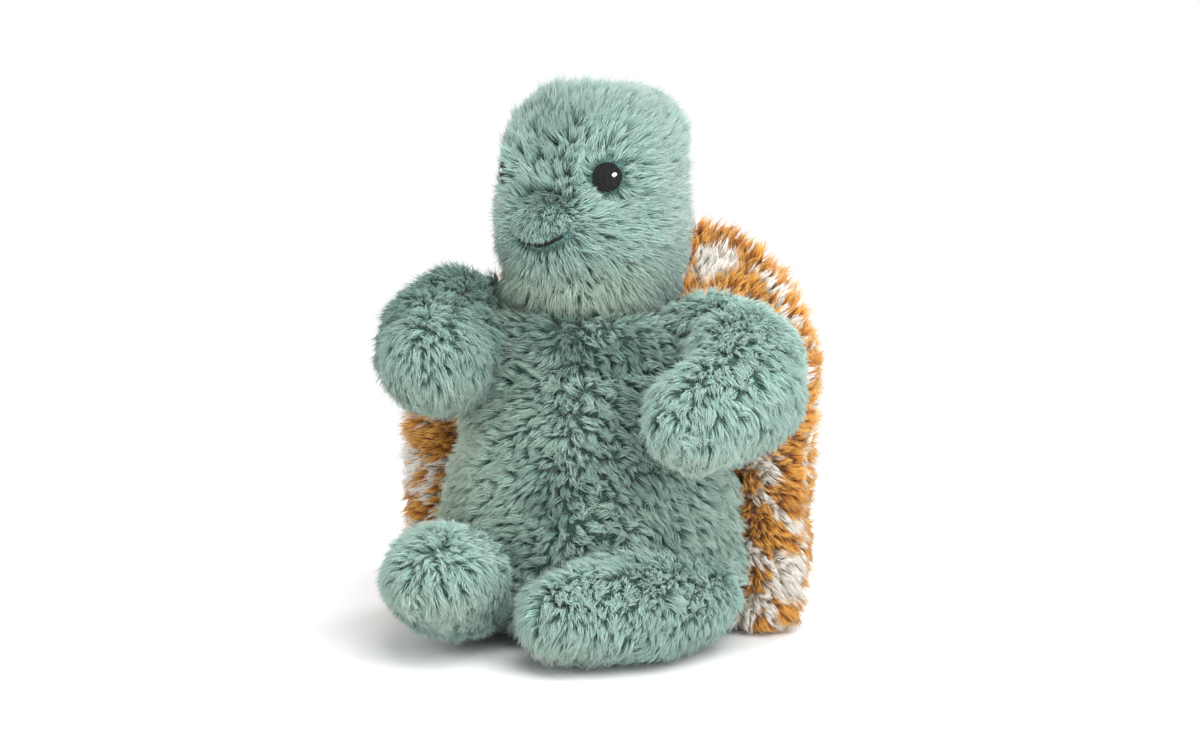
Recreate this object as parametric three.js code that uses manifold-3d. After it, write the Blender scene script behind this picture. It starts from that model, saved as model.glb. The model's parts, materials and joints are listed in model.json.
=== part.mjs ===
// A seated plush turtle: long-pile covers sewn over fibre stuffing, with a padded shell on its back.
// Millimetres, +Z up. The turtle faces -Y and its own left is +X.
// The origin is the middle of its seat, on the floor.
import * as THREE from "three";
import { mergeVertices } from "three/addons/utils/BufferGeometryUtils.js";
import Module from "manifold-3d";

const wasm = await Module();
wasm.setup();

// Cloth and fits
const backing = 1.2; // knitted back of the pile fabric
const pile = 6.8; // pile that stands on it
const clearance = 0.3; // between pieces that are sewn or lie together
const floorCut = 0.5; // how deep a form is flat where it stands
const liningWall = 1.6;
const overrun = 60; // how far a cutting solid runs past what it cuts

// Body
const torsoHeight = 176;
const torsoHalfWidth = 81;
const torsoFront = 72; // from the upright axis to the belly
const torsoBack = 52;
const torsoSeatEdge = 20;
const torsoShoulderEdge = 14;
const seatSeamHeight = 12;
const sideSeamBack = 6; // the side seams stand this far behind the upright axis
const pouchHalfWidth = 46;
const pouchFront = 40;
const pouchBack = 26;
const pouchHeight = 34;
const pouchEdge = 12;
const torsoFullness = 2.2; // 2 is an ellipse, and more is squarer

// Neck
const neckRadius = 40;
const neckSink = 16; // the middle of the neck is this far under the shoulders
const neckForward = 4;
const neckPlay = 0.7; // between the neck and the covers and fibre that turn on it
const nodRoom = 6.6; // degrees that the head can tip before its underside meets the shoulders
const neckOpening = 26; // radius of the neck cover's open ends

// Head
const headHeight = 122;
const headHalfWidth = 48;
const headFront = 42;
const headBack = 51;
const headCrownEdge = 24;
const headChinEdge = 20;
const headForward = 6; // the head's middle stands this far ahead of the neck's
const headTurn = 12; // degrees to the turtle's right
const headFullness = 2.4;
const muzzleHalfWidth = 23;
const muzzleHalfHeight = 17;
const muzzleReach = 50; // from the head's middle to the nose
const muzzleDepth = 17;
const muzzleHeight = 51; // above the head's lowest point
const eyeRadius = 7.4;
const eyeThickness = 2.4;
const eyeCrown = 0.9;
const eyeHeight = 77;
const eyeAside = 32;
const glintRadius = 1.5;
const glintThickness = 0.9;
const glintAside = 3.6;
const glintAbove = 1.2;
const mouthHeight = 42;
const mouthHalfWidth = 14;
const mouthRise = 5;
const mouthThread = 0.9; // radius of the stitched line
const glintSink = 0.3; // how far the glint's stitches are let into the eye

// Arms and legs, each from its hinge to the middle of its round end
const armLength = 78;
const armHalfWidth = 33;
const armHalfHeight = 33;
const legLength = 76;
const legHalfWidth = 35;
const legHalfHeight = 28.5;

// Shell
const shellHeight = 219;
const shellHalfWidth = 118;
const shellFront = 14;
const shellBack = 72;
const shellSetBack = 15;
const shellLean = 52;
const shellEdge = 12;
const shellFullness = 2.3;

// Shares, set by hand from the lowest level to the highest, or from the root of a limb to its end
const torsoWidthShares = [0.93, 0.99, 1, 0.98, 0.93, 0.87, 0.8, 0.71];
const torsoFrontShares = [0.84, 0.97, 1, 0.97, 0.91, 0.83, 0.75, 0.68];
const torsoBackShares = [0.86, 0.96, 1, 0.98, 0.93, 0.88, 0.82, 0.72];
const headWidthShares = [0.78, 0.93, 1, 1, 0.97, 0.91, 0.82];
const headFrontShares = [0.8, 0.97, 1, 0.99, 0.95, 0.85, 0.66];
const headBackShares = [0.82, 0.94, 1, 1, 0.99, 0.95, 0.87];
const shellWidthShares = [0.92, 0.95, 0.96, 0.98, 1, 0.95, 0.77, 0.38];
const shellFrontShares = [1, 1, 1, 1, 1, 0.85, 0.45, 0.35];
const shellBackShares = [0.74, 0.93, 1.02, 1.03, 0.93, 0.62, 0.3, 0.14];
const shellLeanShares = [0, 0, 0, 0.02, 0.12, 0.42, 0.76, 1];
const armSwellShares = [0.8, 0.98, 1, 0.85];
const legSwellShares = [0.86, 1, 1, 0.84];
const shoulderOutShare = 0.76;
const shoulderHeightShare = 0.89;
const hipOutShare = 0.75;
const hipForwardShare = 0.46;

// How the left and right limbs lie: degrees turned out and lifted, and how far the middle bows outwards
const armPoses = {
  left: { side: 1, turnedOut: 14, lifted: -22, bow: 20, lowest: -50, highest: 12 },
  right: { side: -1, turnedOut: -3, lifted: -4, bow: 8, lowest: -50, highest: 11 },
};
const legPoses = {
  left: { side: 1, turnedOut: -33, lifted: 0, bow: 3, lowest: -40, highest: 12 },
  right: { side: -1, turnedOut: -11, lifted: 12, bow: 0, lowest: -40, highest: 15 },
};

// Fineness of the faceted forms
const torsoSides = 26;
const headSides = 24;
const neckSides = 28;
const shellSides = 26;
const limbSides = 14;
const innerSides = 16;
const limbInnerSides = 10;
const stitchSides = 12;
const levelSteps = 6;
const edgeSteps = 2;
const limbSteps = 5;
const mouthSteps = 12;
const mouthPoints = 7;
const threadSides = 6;
const sweepStep = 8; // degrees between the places of a swept form

const teal = { color: 0x7da599, roughness: 0.95, metalness: 0 };
const amber = { color: 0xc8822d, roughness: 0.95, metalness: 0 };
const cream = { color: 0xe1d7c8, roughness: 0.95, metalness: 0 };
const fibre = { color: 0xf2f0ea, roughness: 1, metalness: 0 };
const cloth = { color: 0xb9b2a2, roughness: 0.9, metalness: 0 };
const blackThread = { color: 0x232126, roughness: 0.6, metalness: 0 };
const whiteThread = { color: 0xf4f2ee, roughness: 0.6, metalness: 0 };

const coverWall = backing + pile;
const stuffingInset = coverWall + clearance;
const radians = THREE.MathUtils.degToRad;

// A value read anywhere along evenly spaced shares, on a smooth curve.
function along(shares, way) {
  const curve = new THREE.SplineCurve(shares.map((share, i) => new THREE.Vector2(i, share)));
  return curve.getPoint(way).y;
}

// A power that keeps the sign, which squares off a round section.
function rounded(value, fullness) {
  return Math.sign(value) * Math.abs(value) ** (2 / fullness);
}

// A closed surface over rings of points, with one point at each end.
function closedSkin(rings, firstPole, lastPole) {
  const sides = rings[0].length;
  const points = [firstPole, ...rings.flat(), lastPole];
  const last = points.length - 1;
  const at = (ring, side) => 1 + ring * sides + (side % sides);
  const faces = [];
  for (let side = 0; side < sides; side += 1) {
    faces.push(0, at(0, side + 1), at(0, side));
    faces.push(last, at(rings.length - 1, side), at(rings.length - 1, side + 1));
    for (let ring = 0; ring + 1 < rings.length; ring += 1) {
      faces.push(at(ring, side), at(ring, side + 1), at(ring + 1, side + 1));
      faces.push(at(ring, side), at(ring + 1, side + 1), at(ring + 1, side));
    }
  }
  const geometry = new THREE.BufferGeometry().setFromPoints(points);
  geometry.setIndex(faces);
  return geometry;
}

// The half-width, front, back and middle of a form's level section at a height.
function sectionAt(form, height, inset = 0) {
  const way = THREE.MathUtils.clamp((height - form.bottom) / (form.top - form.bottom), 0, 1);
  return {
    halfWidth: form.halfWidth * along(form.widthShares, way) - inset,
    front: form.front * along(form.frontShares, way) - inset,
    back: form.back * along(form.backShares, way) - inset,
    middle: form.middle + (form.lean ? form.lean * along(form.leanShares, way) : 0),
  };
}

// The front of a form at a place across it and a height.
function frontAt(form, across, height) {
  const { halfWidth, front, middle } = sectionAt(form, height);
  const left = 1 - Math.abs(across / halfWidth) ** form.fullness;
  return middle - front * Math.max(left, 0) ** (1 / form.fullness);
}

// A stuffed form of level sections with rounded lower and upper edges, shrunk all over by an inset.
function levelForm(form, sides, inset = 0) {
  const bottom = form.bottom + inset;
  const top = form.top - inset;
  const lowerEdge = form.lowerEdge - inset;
  const upperEdge = form.upperEdge - inset;
  const levels = [];
  for (let i = 0; i < edgeSteps; i += 1) {
    const turn = (1 - i / edgeSteps) * (Math.PI / 2);
    levels.push({
      height: bottom + lowerEdge * (1 - Math.sin(turn)),
      shrink: lowerEdge * (1 - Math.cos(turn)),
    });
  }
  for (let i = 0; i <= levelSteps; i += 1) {
    const way = i / levelSteps;
    levels.push({ height: THREE.MathUtils.lerp(bottom + lowerEdge, top - upperEdge, way), shrink: 0 });
  }
  for (let i = 1; i <= edgeSteps; i += 1) {
    const turn = (i / edgeSteps) * (Math.PI / 2);
    levels.push({
      height: top - upperEdge * (1 - Math.sin(turn)),
      shrink: upperEdge * (1 - Math.cos(turn)),
    });
  }
  const rings = levels.map(({ height, shrink }) => {
    const { halfWidth, front, back, middle } = sectionAt(form, height, inset + shrink);
    return Array.from({ length: sides }, (_, i) => {
      const angle = (2 * Math.PI * i) / sides;
      const forward = rounded(Math.sin(angle), form.fullness);
      const across = rounded(Math.cos(angle), form.fullness);
      return new THREE.Vector3(halfWidth * across, middle + (forward < 0 ? front : back) * forward, height);
    });
  });
  const poleAt = (height) => new THREE.Vector3(0, sectionAt(form, height).middle, height);
  return closedSkin(rings, poleAt(bottom), poleAt(top));
}

// A stuffed limb: oval sections square to a bowed spine that runs forwards from its hinge, with round ends.
function limbForm(limb, sides, inset = 0) {
  const middle = new THREE.Vector3(2 * limb.bow, -limb.length / 2, 0);
  const end = new THREE.Vector3(0, -limb.length, 0);
  const spine = new THREE.QuadraticBezierCurve3(new THREE.Vector3(), middle, end);
  const upright = new THREE.Vector3(0, 0, 1);
  const rings = [];
  const poles = [];
  const addRing = (way, cap) => {
    const centre = spine.getPoint(way);
    const tangent = spine.getTangent(way);
    const aside = new THREE.Vector3().crossVectors(upright, tangent);
    const swell = along(limb.swellShares, way);
    const halfWidth = limb.halfWidth * swell - inset;
    const halfHeight = limb.halfHeight * swell - inset;
    centre.addScaledVector(tangent, ((halfWidth + halfHeight) / 2) * Math.sin(cap));
    if (Math.abs(cap) === Math.PI / 2) {
      poles.push(centre);
      return;
    }
    rings.push(
      Array.from({ length: sides }, (_, i) => {
        const angle = (2 * Math.PI * i) / sides;
        return centre
          .clone()
          .addScaledVector(aside, halfWidth * Math.cos(cap) * Math.cos(angle))
          .addScaledVector(upright, halfHeight * Math.cos(cap) * Math.sin(angle));
      }),
    );
  };
  for (let i = -edgeSteps; i < 0; i += 1) addRing(0, (i / edgeSteps) * (Math.PI / 2));
  for (let i = 0; i <= limbSteps; i += 1) addRing(i / limbSteps, 0);
  for (let i = 1; i <= edgeSteps; i += 1) addRing(1, (i / edgeSteps) * (Math.PI / 2));
  return closedSkin(rings, poles[0], poles[1]);
}

// A low dome on a round edge, lying on the XY plane and centred on Z.
function stitchedDisc(radius, thickness, crown) {
  const profile = [
    new THREE.Vector2(0, -thickness / 2),
    new THREE.Vector2(radius, -thickness / 2),
    new THREE.Vector2(radius, thickness / 2 - crown),
    new THREE.Vector2(radius / 2, thickness / 2 - crown / 4),
    new THREE.Vector2(0, thickness / 2),
  ];
  return new THREE.LatheGeometry(profile, stitchSides).rotateX(Math.PI / 2);
}

// A solid from a closed geometry, moved by a matrix.
function solid(geometry, matrix = new THREE.Matrix4()) {
  const bare = geometry.clone().applyMatrix4(matrix);
  bare.deleteAttribute("normal");
  bare.deleteAttribute("uv");
  const merged = mergeVertices(bare);
  return new wasm.Manifold(
    new wasm.Mesh({
      numProp: 3,
      vertProperties: merged.getAttribute("position").array,
      triVerts: new Uint32Array(merged.index.array),
    }),
  );
}

// A mesh from a solid.
function part(name, made, finish) {
  const { vertProperties, triVerts } = made.getMesh();
  const geometry = new THREE.BufferGeometry();
  geometry.setAttribute("position", new THREE.BufferAttribute(vertProperties, 3));
  geometry.setIndex(new THREE.BufferAttribute(triVerts, 1));
  geometry.computeVertexNormals();
  const mesh = new THREE.Mesh(geometry, new THREE.MeshStandardMaterial(finish));
  mesh.name = name;
  return mesh;
}

const reach = 2 * (shellHeight + shellHalfWidth) + overrun;

// Everything on one side of an upright or level seam, half a clearance off it.
function sideOf(axis, sign, seam = 0) {
  const box = new THREE.BoxGeometry(reach, reach, reach);
  const middle = seam + sign * (reach / 2 + clearance / 2);
  box.translate(axis === "x" ? middle : 0, axis === "y" ? middle : 0, axis === "z" ? middle : 0);
  return solid(box);
}

// Everything under the floor.
function underFloor() {
  return new THREE.BoxGeometry(reach, reach, overrun).translate(0, 0, -overrun / 2);
}

const torso = {
  bottom: -floorCut,
  top: torsoHeight,
  halfWidth: torsoHalfWidth,
  front: torsoFront,
  back: torsoBack,
  middle: 0,
  lowerEdge: torsoSeatEdge,
  upperEdge: torsoShoulderEdge,
  fullness: torsoFullness,
  widthShares: torsoWidthShares,
  frontShares: torsoFrontShares,
  backShares: torsoBackShares,
};

const shell = {
  bottom: -floorCut,
  top: shellHeight,
  halfWidth: shellHalfWidth,
  front: shellFront,
  back: shellBack,
  middle: shellSetBack,
  lean: shellLean,
  lowerEdge: shellEdge,
  upperEdge: shellEdge,
  fullness: shellFullness,
  widthShares: shellWidthShares,
  frontShares: shellFrontShares,
  backShares: shellBackShares,
  leanShares: shellLeanShares,
};

const neckMiddle = new THREE.Vector3(0, -neckForward, torsoHeight - neckSink);

// The head in the neck's own frame, where the neck's middle is the origin.
const headBottom = neckSink - headChinEdge / 2;
const head = {
  bottom: headBottom,
  top: headBottom + headHeight,
  halfWidth: headHalfWidth,
  front: headFront,
  back: headBack,
  middle: -headForward,
  lowerEdge: headChinEdge,
  upperEdge: headCrownEdge,
  fullness: headFullness,
  widthShares: headWidthShares,
  frontShares: headFrontShares,
  backShares: headBackShares,
};

// A ball of the neck's size about its middle.
function neckBall(radius, middle = neckMiddle, sides = neckSides) {
  const ball = new THREE.SphereGeometry(radius, sides, sides / 2);
  return solid(ball, new THREE.Matrix4().setPosition(middle));
}

// The body: four panels of cover, the fibre, and the pouch that weights the seat.
function makeTorso() {
  const floor = solid(underFloor());
  const outer = solid(levelForm(torso, torsoSides)).subtract(floor);
  const cavity = solid(levelForm(torso, innerSides, coverWall));
  const cover = outer.subtract(cavity).subtract(neckBall(neckRadius));
  const aboveSeat = cover.intersect(sideOf("z", 1, seatSeamHeight));
  const belly = aboveSeat.intersect(sideOf("y", -1, sideSeamBack));
  const pouchForm = {
    bottom: torso.bottom + stuffingInset,
    top: torso.bottom + stuffingInset + pouchHeight,
    halfWidth: pouchHalfWidth,
    front: pouchFront,
    back: pouchBack,
    middle: 0,
    lowerEdge: pouchEdge,
    upperEdge: pouchEdge,
    fullness: torsoFullness,
    widthShares: [1, 1],
    frontShares: [1, 1],
    backShares: [1, 1],
  };
  const pouch = solid(levelForm(pouchForm, innerSides));
  const pouchRoom = solid(levelForm(pouchForm, innerSides, -clearance));
  const stuffing = solid(levelForm(torso, innerSides, stuffingInset))
    .subtract(neckBall(neckRadius))
    .subtract(pouchRoom);
  return [
    part("belly_panel_left", belly.intersect(sideOf("x", 1)), teal),
    part("belly_panel_right", belly.intersect(sideOf("x", -1)), teal),
    part("back_panel", aboveSeat.intersect(sideOf("y", 1, sideSeamBack)), teal),
    part("seat_panel", cover.intersect(sideOf("z", -1, seatSeamHeight)), teal),
    part("torso_stuffing", stuffing, fibre),
    part("pellet_pouch", pouch, cloth),
  ];
}

// The neck: a short band of cover, open at both ends, and the fibre that runs through it.
function makeNeck() {
  const outerRadius = neckRadius - neckPlay;
  const innerRadius = outerRadius - coverWall;
  const opening = new THREE.CylinderGeometry(neckOpening, neckOpening, reach, innerSides);
  opening.rotateX(Math.PI / 2);
  const band = neckBall(outerRadius)
    .subtract(neckBall(innerRadius, neckMiddle, innerSides))
    .subtract(solid(opening, new THREE.Matrix4().setPosition(neckMiddle)));
  const stuffing = neckBall(innerRadius - clearance, neckMiddle, innerSides);
  return [part("neck_cover", band, teal), part("neck_stuffing", stuffing, fibre)];
}

// The shell: a padded dome that takes the back in, its cover open where the lining closes it.
function makeShell() {
  const floor = solid(underFloor());
  const liningOuter = solid(levelForm(torso, torsoSides, -clearance - liningWall));
  const seatRoom = solid(levelForm(torso, torsoSides, -2 * clearance - liningWall));
  const outer = solid(levelForm(shell, shellSides)).subtract(floor);
  const cover = outer.subtract(solid(levelForm(shell, innerSides, coverWall))).subtract(seatRoom);
  const lining = liningOuter
    .subtract(solid(levelForm(torso, torsoSides, -clearance)))
    .intersect(solid(levelForm(shell, shellSides)))
    .subtract(floor)
    .subtract(neckBall(neckRadius + clearance));
  const stuffing = solid(levelForm(shell, innerSides, stuffingInset + clearance)).subtract(seatRoom);
  return [
    part("shell_cover", cover, amber),
    part("shell_lining", lining, cream),
    part("shell_stuffing", stuffing, fibre),
  ];
}

// The front of the muzzle where it covers a place across the face and a height, in the head's frame.
function faceAt(across, height) {
  const muzzleMiddle = head.middle - muzzleReach + muzzleDepth;
  const above = (height - head.bottom - muzzleHeight) / muzzleHalfHeight;
  const left = 1 - (across / muzzleHalfWidth) ** 2 - above ** 2;
  const front = frontAt(head, across, height);
  return left > 0 ? Math.min(front, muzzleMiddle - muzzleDepth * Math.sqrt(left)) : front;
}

// The head's outside, with its muzzle, shrunk by an inset.
function headSolid(sides, inset = 0) {
  const muzzle = new THREE.SphereGeometry(1, innerSides, innerSides / 2);
  muzzle.scale(muzzleHalfWidth - inset, muzzleDepth - inset / 2, muzzleHalfHeight - inset);
  muzzle.translate(0, head.middle - muzzleReach + muzzleDepth + inset / 2, head.bottom + muzzleHeight);
  return solid(levelForm(head, sides, inset)).add(solid(muzzle));
}

// What the head keeps clear of as it turns and nods: the neck, and a cone over the shoulders.
function neckRoom() {
  const apex = (neckSink + clearance) / Math.cos(radians(nodRoom));
  const outside = neckRadius + overrun;
  const cone = [
    new THREE.Vector2(0, -outside),
    new THREE.Vector2(outside, -outside),
    new THREE.Vector2(outside, apex + outside * Math.tan(radians(nodRoom))),
    new THREE.Vector2(0, apex),
  ];
  const lathe = new THREE.LatheGeometry(cone, torsoSides).rotateX(Math.PI / 2);
  return solid(lathe).add(neckBall(neckRadius, new THREE.Vector3()));
}

// A place for an eye: on the face, looking square out of it.
function eyePlace(side) {
  const height = head.bottom + eyeHeight;
  const { halfWidth, front, middle } = sectionAt(head, height);
  const across = side * eyeAside;
  const ahead = frontAt(head, across, height);
  const slope = head.fullness - 1;
  const out = new THREE.Vector3(
    (side * (eyeAside / halfWidth) ** slope) / halfWidth,
    -(((middle - ahead) / front) ** slope) / front,
    0,
  ).normalize();
  const sink = eyeThickness / 2 - eyeCrown;
  const centre = new THREE.Vector3(across, ahead, height).addScaledVector(out, -sink);
  const upright = new THREE.Vector3(0, 0, 1);
  const aside = new THREE.Vector3().crossVectors(upright, out);
  const turned = new THREE.Matrix4().makeBasis(aside, upright, out);
  return { centre, out, turned, aside };
}

// The head in its own group at the neck: two panels, fibre, eyes with their glints, and the mouth.
function makeHead() {
  const room = neckRoom();
  const outer = headSolid(headSides).subtract(room);
  let cover = outer.subtract(headSolid(innerSides, coverWall));
  const made = [];
  for (const [word, side] of [["left", 1], ["right", -1]]) {
    const { centre, out, turned, aside } = eyePlace(side);
    const eyeMatrix = turned.clone().setPosition(centre);
    const glintProud = (eyeThickness + glintThickness) / 2 - (eyeCrown * glintAside) / eyeRadius - glintSink;
    const glintCentre = centre
      .clone()
      .addScaledVector(out, glintProud)
      .addScaledVector(aside, side * glintAside)
      .addScaledVector(new THREE.Vector3(0, 0, 1), glintAbove);
    const glintMatrix = turned.clone().setPosition(glintCentre);
    const pocket = stitchedDisc(eyeRadius + clearance, eyeThickness + 2 * clearance, eyeCrown);
    const glintPocket = stitchedDisc(glintRadius + clearance, glintThickness + 2 * clearance, 0);
    const eye = solid(stitchedDisc(eyeRadius, eyeThickness, eyeCrown), eyeMatrix);
    const glint = solid(stitchedDisc(glintRadius, glintThickness, 0), glintMatrix);
    cover = cover.subtract(solid(pocket, eyeMatrix));
    made.push(part(`eye_${word}`, eye.subtract(solid(glintPocket, glintMatrix)), blackThread));
    made.push(part(`eye_glint_${word}`, glint, whiteThread));
  }
  cover = cover.subtract(solid(mouthLine(mouthThread + clearance, clearance)));
  made.push(part("mouth_stitch", solid(mouthLine(mouthThread, 0)), blackThread));
  const stuffing = headSolid(innerSides, stuffingInset).subtract(room);
  made.push(
    part("head_panel_left", cover.intersect(sideOf("x", 1)), teal),
    part("head_panel_right", cover.intersect(sideOf("x", -1)), teal),
    part("head_stuffing", stuffing, fibre),
  );
  const group = new THREE.Group();
  group.position.copy(neckMiddle);
  group.rotation.z = -radians(headTurn);
  group.add(...made);
  return group;
}

// The stitched smile as a round line along the face, lengthened at both ends by an extra.
function mouthLine(radius, extra) {
  const half = mouthHalfWidth + extra;
  const points = Array.from({ length: mouthPoints }, (_, i) => {
    const way = (2 * i) / (mouthPoints - 1) - 1;
    const height = head.bottom + mouthHeight + mouthRise * way ** 2;
    return new THREE.Vector3(half * way, faceAt(half * way, height), height);
  });
  const section = new THREE.Shape().absarc(0, 0, radius, 0, 2 * Math.PI);
  return new THREE.ExtrudeGeometry(section, {
    steps: mouthSteps,
    curveSegments: threadSides / 2,
    extrudePath: new THREE.CatmullRomCurve3(points),
  });
}

// Where a limb's own frame stands: X out of its hinge and Y back along it, at the given lift.
function limbMatrix(hinge, pose, lifted = pose.lifted) {
  const turn = new THREE.Euler(-radians(lifted), 0, pose.side * radians(pose.turnedOut), "ZXY");
  return new THREE.Matrix4().makeRotationFromEuler(turn).setPosition(hinge);
}

// What a limb keeps clear of from its lowest to its highest place, seen from the limb.
function limbRoom(hinge, pose) {
  const body = levelForm(torso, torsoSides, -clearance);
  const pad = levelForm(shell, shellSides, -clearance);
  const steps = Math.ceil((pose.highest - pose.lowest) / sweepStep);
  const rooms = [solid(underFloor(), limbMatrix(hinge, pose).invert())];
  for (let i = 0; i <= steps; i += 1) {
    const lifted = THREE.MathUtils.lerp(pose.lowest, pose.highest, i / steps);
    const seen = limbMatrix(hinge, pose, lifted).invert();
    rooms.push(solid(body, seen), solid(pad, seen));
  }
  return rooms;
}

// One limb in its own group at its hinge: an upper panel, a lower panel and the fibre inside.
function makeLimb(name, lowerName, limb, pose, hinge) {
  const bowed = { ...limb, bow: pose.side * pose.bow };
  const outer = solid(limbForm(bowed, limbSides));
  let stuffing = solid(limbForm(bowed, limbInnerSides, stuffingInset));
  let cover = outer.subtract(solid(limbForm(bowed, limbInnerSides, coverWall)));
  for (const room of limbRoom(hinge, pose)) {
    cover = cover.subtract(room);
    stuffing = stuffing.subtract(room);
  }
  const group = new THREE.Group();
  group.applyMatrix4(limbMatrix(hinge, pose));
  group.add(
    part(`${name}_top`, cover.intersect(sideOf("z", 1)), teal),
    part(`${name}_${lowerName}`, cover.intersect(sideOf("z", -1)), teal),
    part(`${name}_stuffing`, stuffing, fibre),
  );
  return group;
}

function makeLimbs() {
  const arm = {
    length: armLength,
    halfWidth: armHalfWidth,
    halfHeight: armHalfHeight,
    swellShares: armSwellShares,
  };
  const leg = {
    length: legLength,
    halfWidth: legHalfWidth,
    halfHeight: legHalfHeight,
    swellShares: legSwellShares,
  };
  const limbs = [];
  for (const [word, pose] of Object.entries(armPoses)) {
    const out = pose.side * torsoHalfWidth * shoulderOutShare;
    const shoulder = new THREE.Vector3(out, -neckForward, torsoHeight * shoulderHeightShare);
    limbs.push(makeLimb(`arm_${word}`, "under", arm, pose, shoulder));
  }
  for (const [word, pose] of Object.entries(legPoses)) {
    const out = pose.side * torsoHalfWidth * hipOutShare;
    const hip = new THREE.Vector3(out, -torsoFront * hipForwardShare, legHalfHeight - floorCut);
    limbs.push(makeLimb(`leg_${word}`, "sole", leg, pose, hip));
  }
  return limbs;
}

const turtle = new THREE.Group();
turtle.add(...makeTorso(), ...makeShell(), ...makeNeck(), makeHead(), ...makeLimbs());

export default turtle;
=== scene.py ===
import json
import math
import bpy
import numpy as np
from mathutils import Matrix, Vector, noise
from mathutils.bvhtree import BVHTree
from mathutils.kdtree import KDTree


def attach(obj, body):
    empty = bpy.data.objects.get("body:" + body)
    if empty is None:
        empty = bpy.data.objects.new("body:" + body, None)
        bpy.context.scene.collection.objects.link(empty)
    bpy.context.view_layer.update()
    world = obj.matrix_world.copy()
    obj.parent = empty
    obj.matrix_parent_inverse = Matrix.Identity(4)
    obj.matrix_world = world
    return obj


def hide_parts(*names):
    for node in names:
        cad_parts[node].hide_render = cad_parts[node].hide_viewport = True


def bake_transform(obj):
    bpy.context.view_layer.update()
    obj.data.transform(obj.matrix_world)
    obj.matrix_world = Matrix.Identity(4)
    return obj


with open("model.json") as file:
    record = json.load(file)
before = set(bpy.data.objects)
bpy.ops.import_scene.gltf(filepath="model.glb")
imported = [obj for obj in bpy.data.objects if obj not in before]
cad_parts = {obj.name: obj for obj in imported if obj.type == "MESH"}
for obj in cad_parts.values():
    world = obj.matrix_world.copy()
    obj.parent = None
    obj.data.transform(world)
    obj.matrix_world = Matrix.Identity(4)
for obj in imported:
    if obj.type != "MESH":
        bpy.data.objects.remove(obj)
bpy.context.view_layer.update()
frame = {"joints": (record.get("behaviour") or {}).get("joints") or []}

mm = 0.001
joints = {joint["name"]: joint for joint in frame["joints"]}
scene = bpy.context.scene
rng = np.random.default_rng(41)
noise.seed_set(41)  # or else noise_vector starts from the clock
nowhereNear = 99  # mm, for a place that no seam is near


# Small helpers. All forms are worked out in millimetres and turned into metres when a mesh is made.
def unit(vectors):
    return vectors / np.maximum(np.linalg.norm(vectors, axis=-1, keepdims=True), 1e-9)


def easeBetween(value, low, high):
    way = np.clip((value - low) / (high - low), 0, 1)
    return way * way * (3 - 2 * way)


def easeOff(value, low, high):
    return 1 - easeBetween(value, low, high)


def bump(distance, width):
    return np.exp(-(distance / width) ** 2)


def blended(first, second, share):
    return first * (1 - share)[:, None] + second * share[:, None]


def noiseAt(points, size, seed):
    shift = Vector((seed * 7.3, seed * 3.1, seed * 5.7))
    return np.array([noise.noise_vector(Vector(point) / size + shift) for point in points])


def moved(points, matrix):
    turn = np.array(matrix.to_3x3())
    return points @ turn.T + np.array(matrix.translation)


def pivotOf(name):
    return np.array(joints[name]["pos_m"]) / mm


def addObject(name, data):
    made = bpy.data.objects.new(name, data)
    scene.collection.objects.link(made)
    return made


def makeObject(name, points, faces):
    mesh = bpy.data.meshes.new(name)
    mesh.from_pydata((np.asarray(points) * mm).tolist(), [], faces)
    mesh.validate()
    return addObject(name, mesh)


def vectorsOf(parts, name):
    flat = np.empty(len(parts) * 3, np.float32)
    parts.foreach_get(name, flat)
    return flat.reshape(-1, 3).astype(float)


def pointsOf(thing):
    return vectorsOf(thing.data.vertices, "co") / mm


def normalsOf(thing):
    return vectorsOf(thing.data.vertices, "normal")


def setPoints(thing, points):
    thing.data.vertices.foreach_set("co", (points * mm).astype(np.float32).ravel())
    thing.data.update()


def applyModifiers(thing):
    graph = bpy.context.evaluated_depsgraph_get()
    made = bpy.data.meshes.new_from_object(thing.evaluated_get(graph))
    old = thing.data
    thing.modifiers.clear()
    thing.data = made
    bpy.data.meshes.remove(old)
    made.name = thing.name


def treeOf(thing):
    faces = [tuple(face.vertices) for face in thing.data.polygons]
    return BVHTree.FromPolygons([Vector(point) for point in pointsOf(thing)], faces)


# Materials
class Wire:
    # one socket, with the sums that are written on it added as Math nodes
    def __init__(self, nodes, socket):
        self.nodes = nodes
        self.socket = socket

    def sum(self, operation, *values):
        return self.nodes.node("ShaderNodeMath", {"operation": operation}, dict(enumerate(values)))[0]

    def __add__(self, other):
        return self.sum("ADD", self, other)

    def __radd__(self, other):
        return self.sum("ADD", other, self)

    def __sub__(self, other):
        return self.sum("SUBTRACT", self, other)

    def __rsub__(self, other):
        return self.sum("SUBTRACT", other, self)

    def __mul__(self, other):
        return self.sum("MULTIPLY", self, other)

    def __rmul__(self, other):
        return self.sum("MULTIPLY", other, self)


class Outputs:
    # a node's outputs by name or by place
    def __init__(self, nodes, made):
        self.nodes = nodes
        self.made = made

    def __getitem__(self, name):
        return Wire(self.nodes, self.made.outputs[name])


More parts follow.
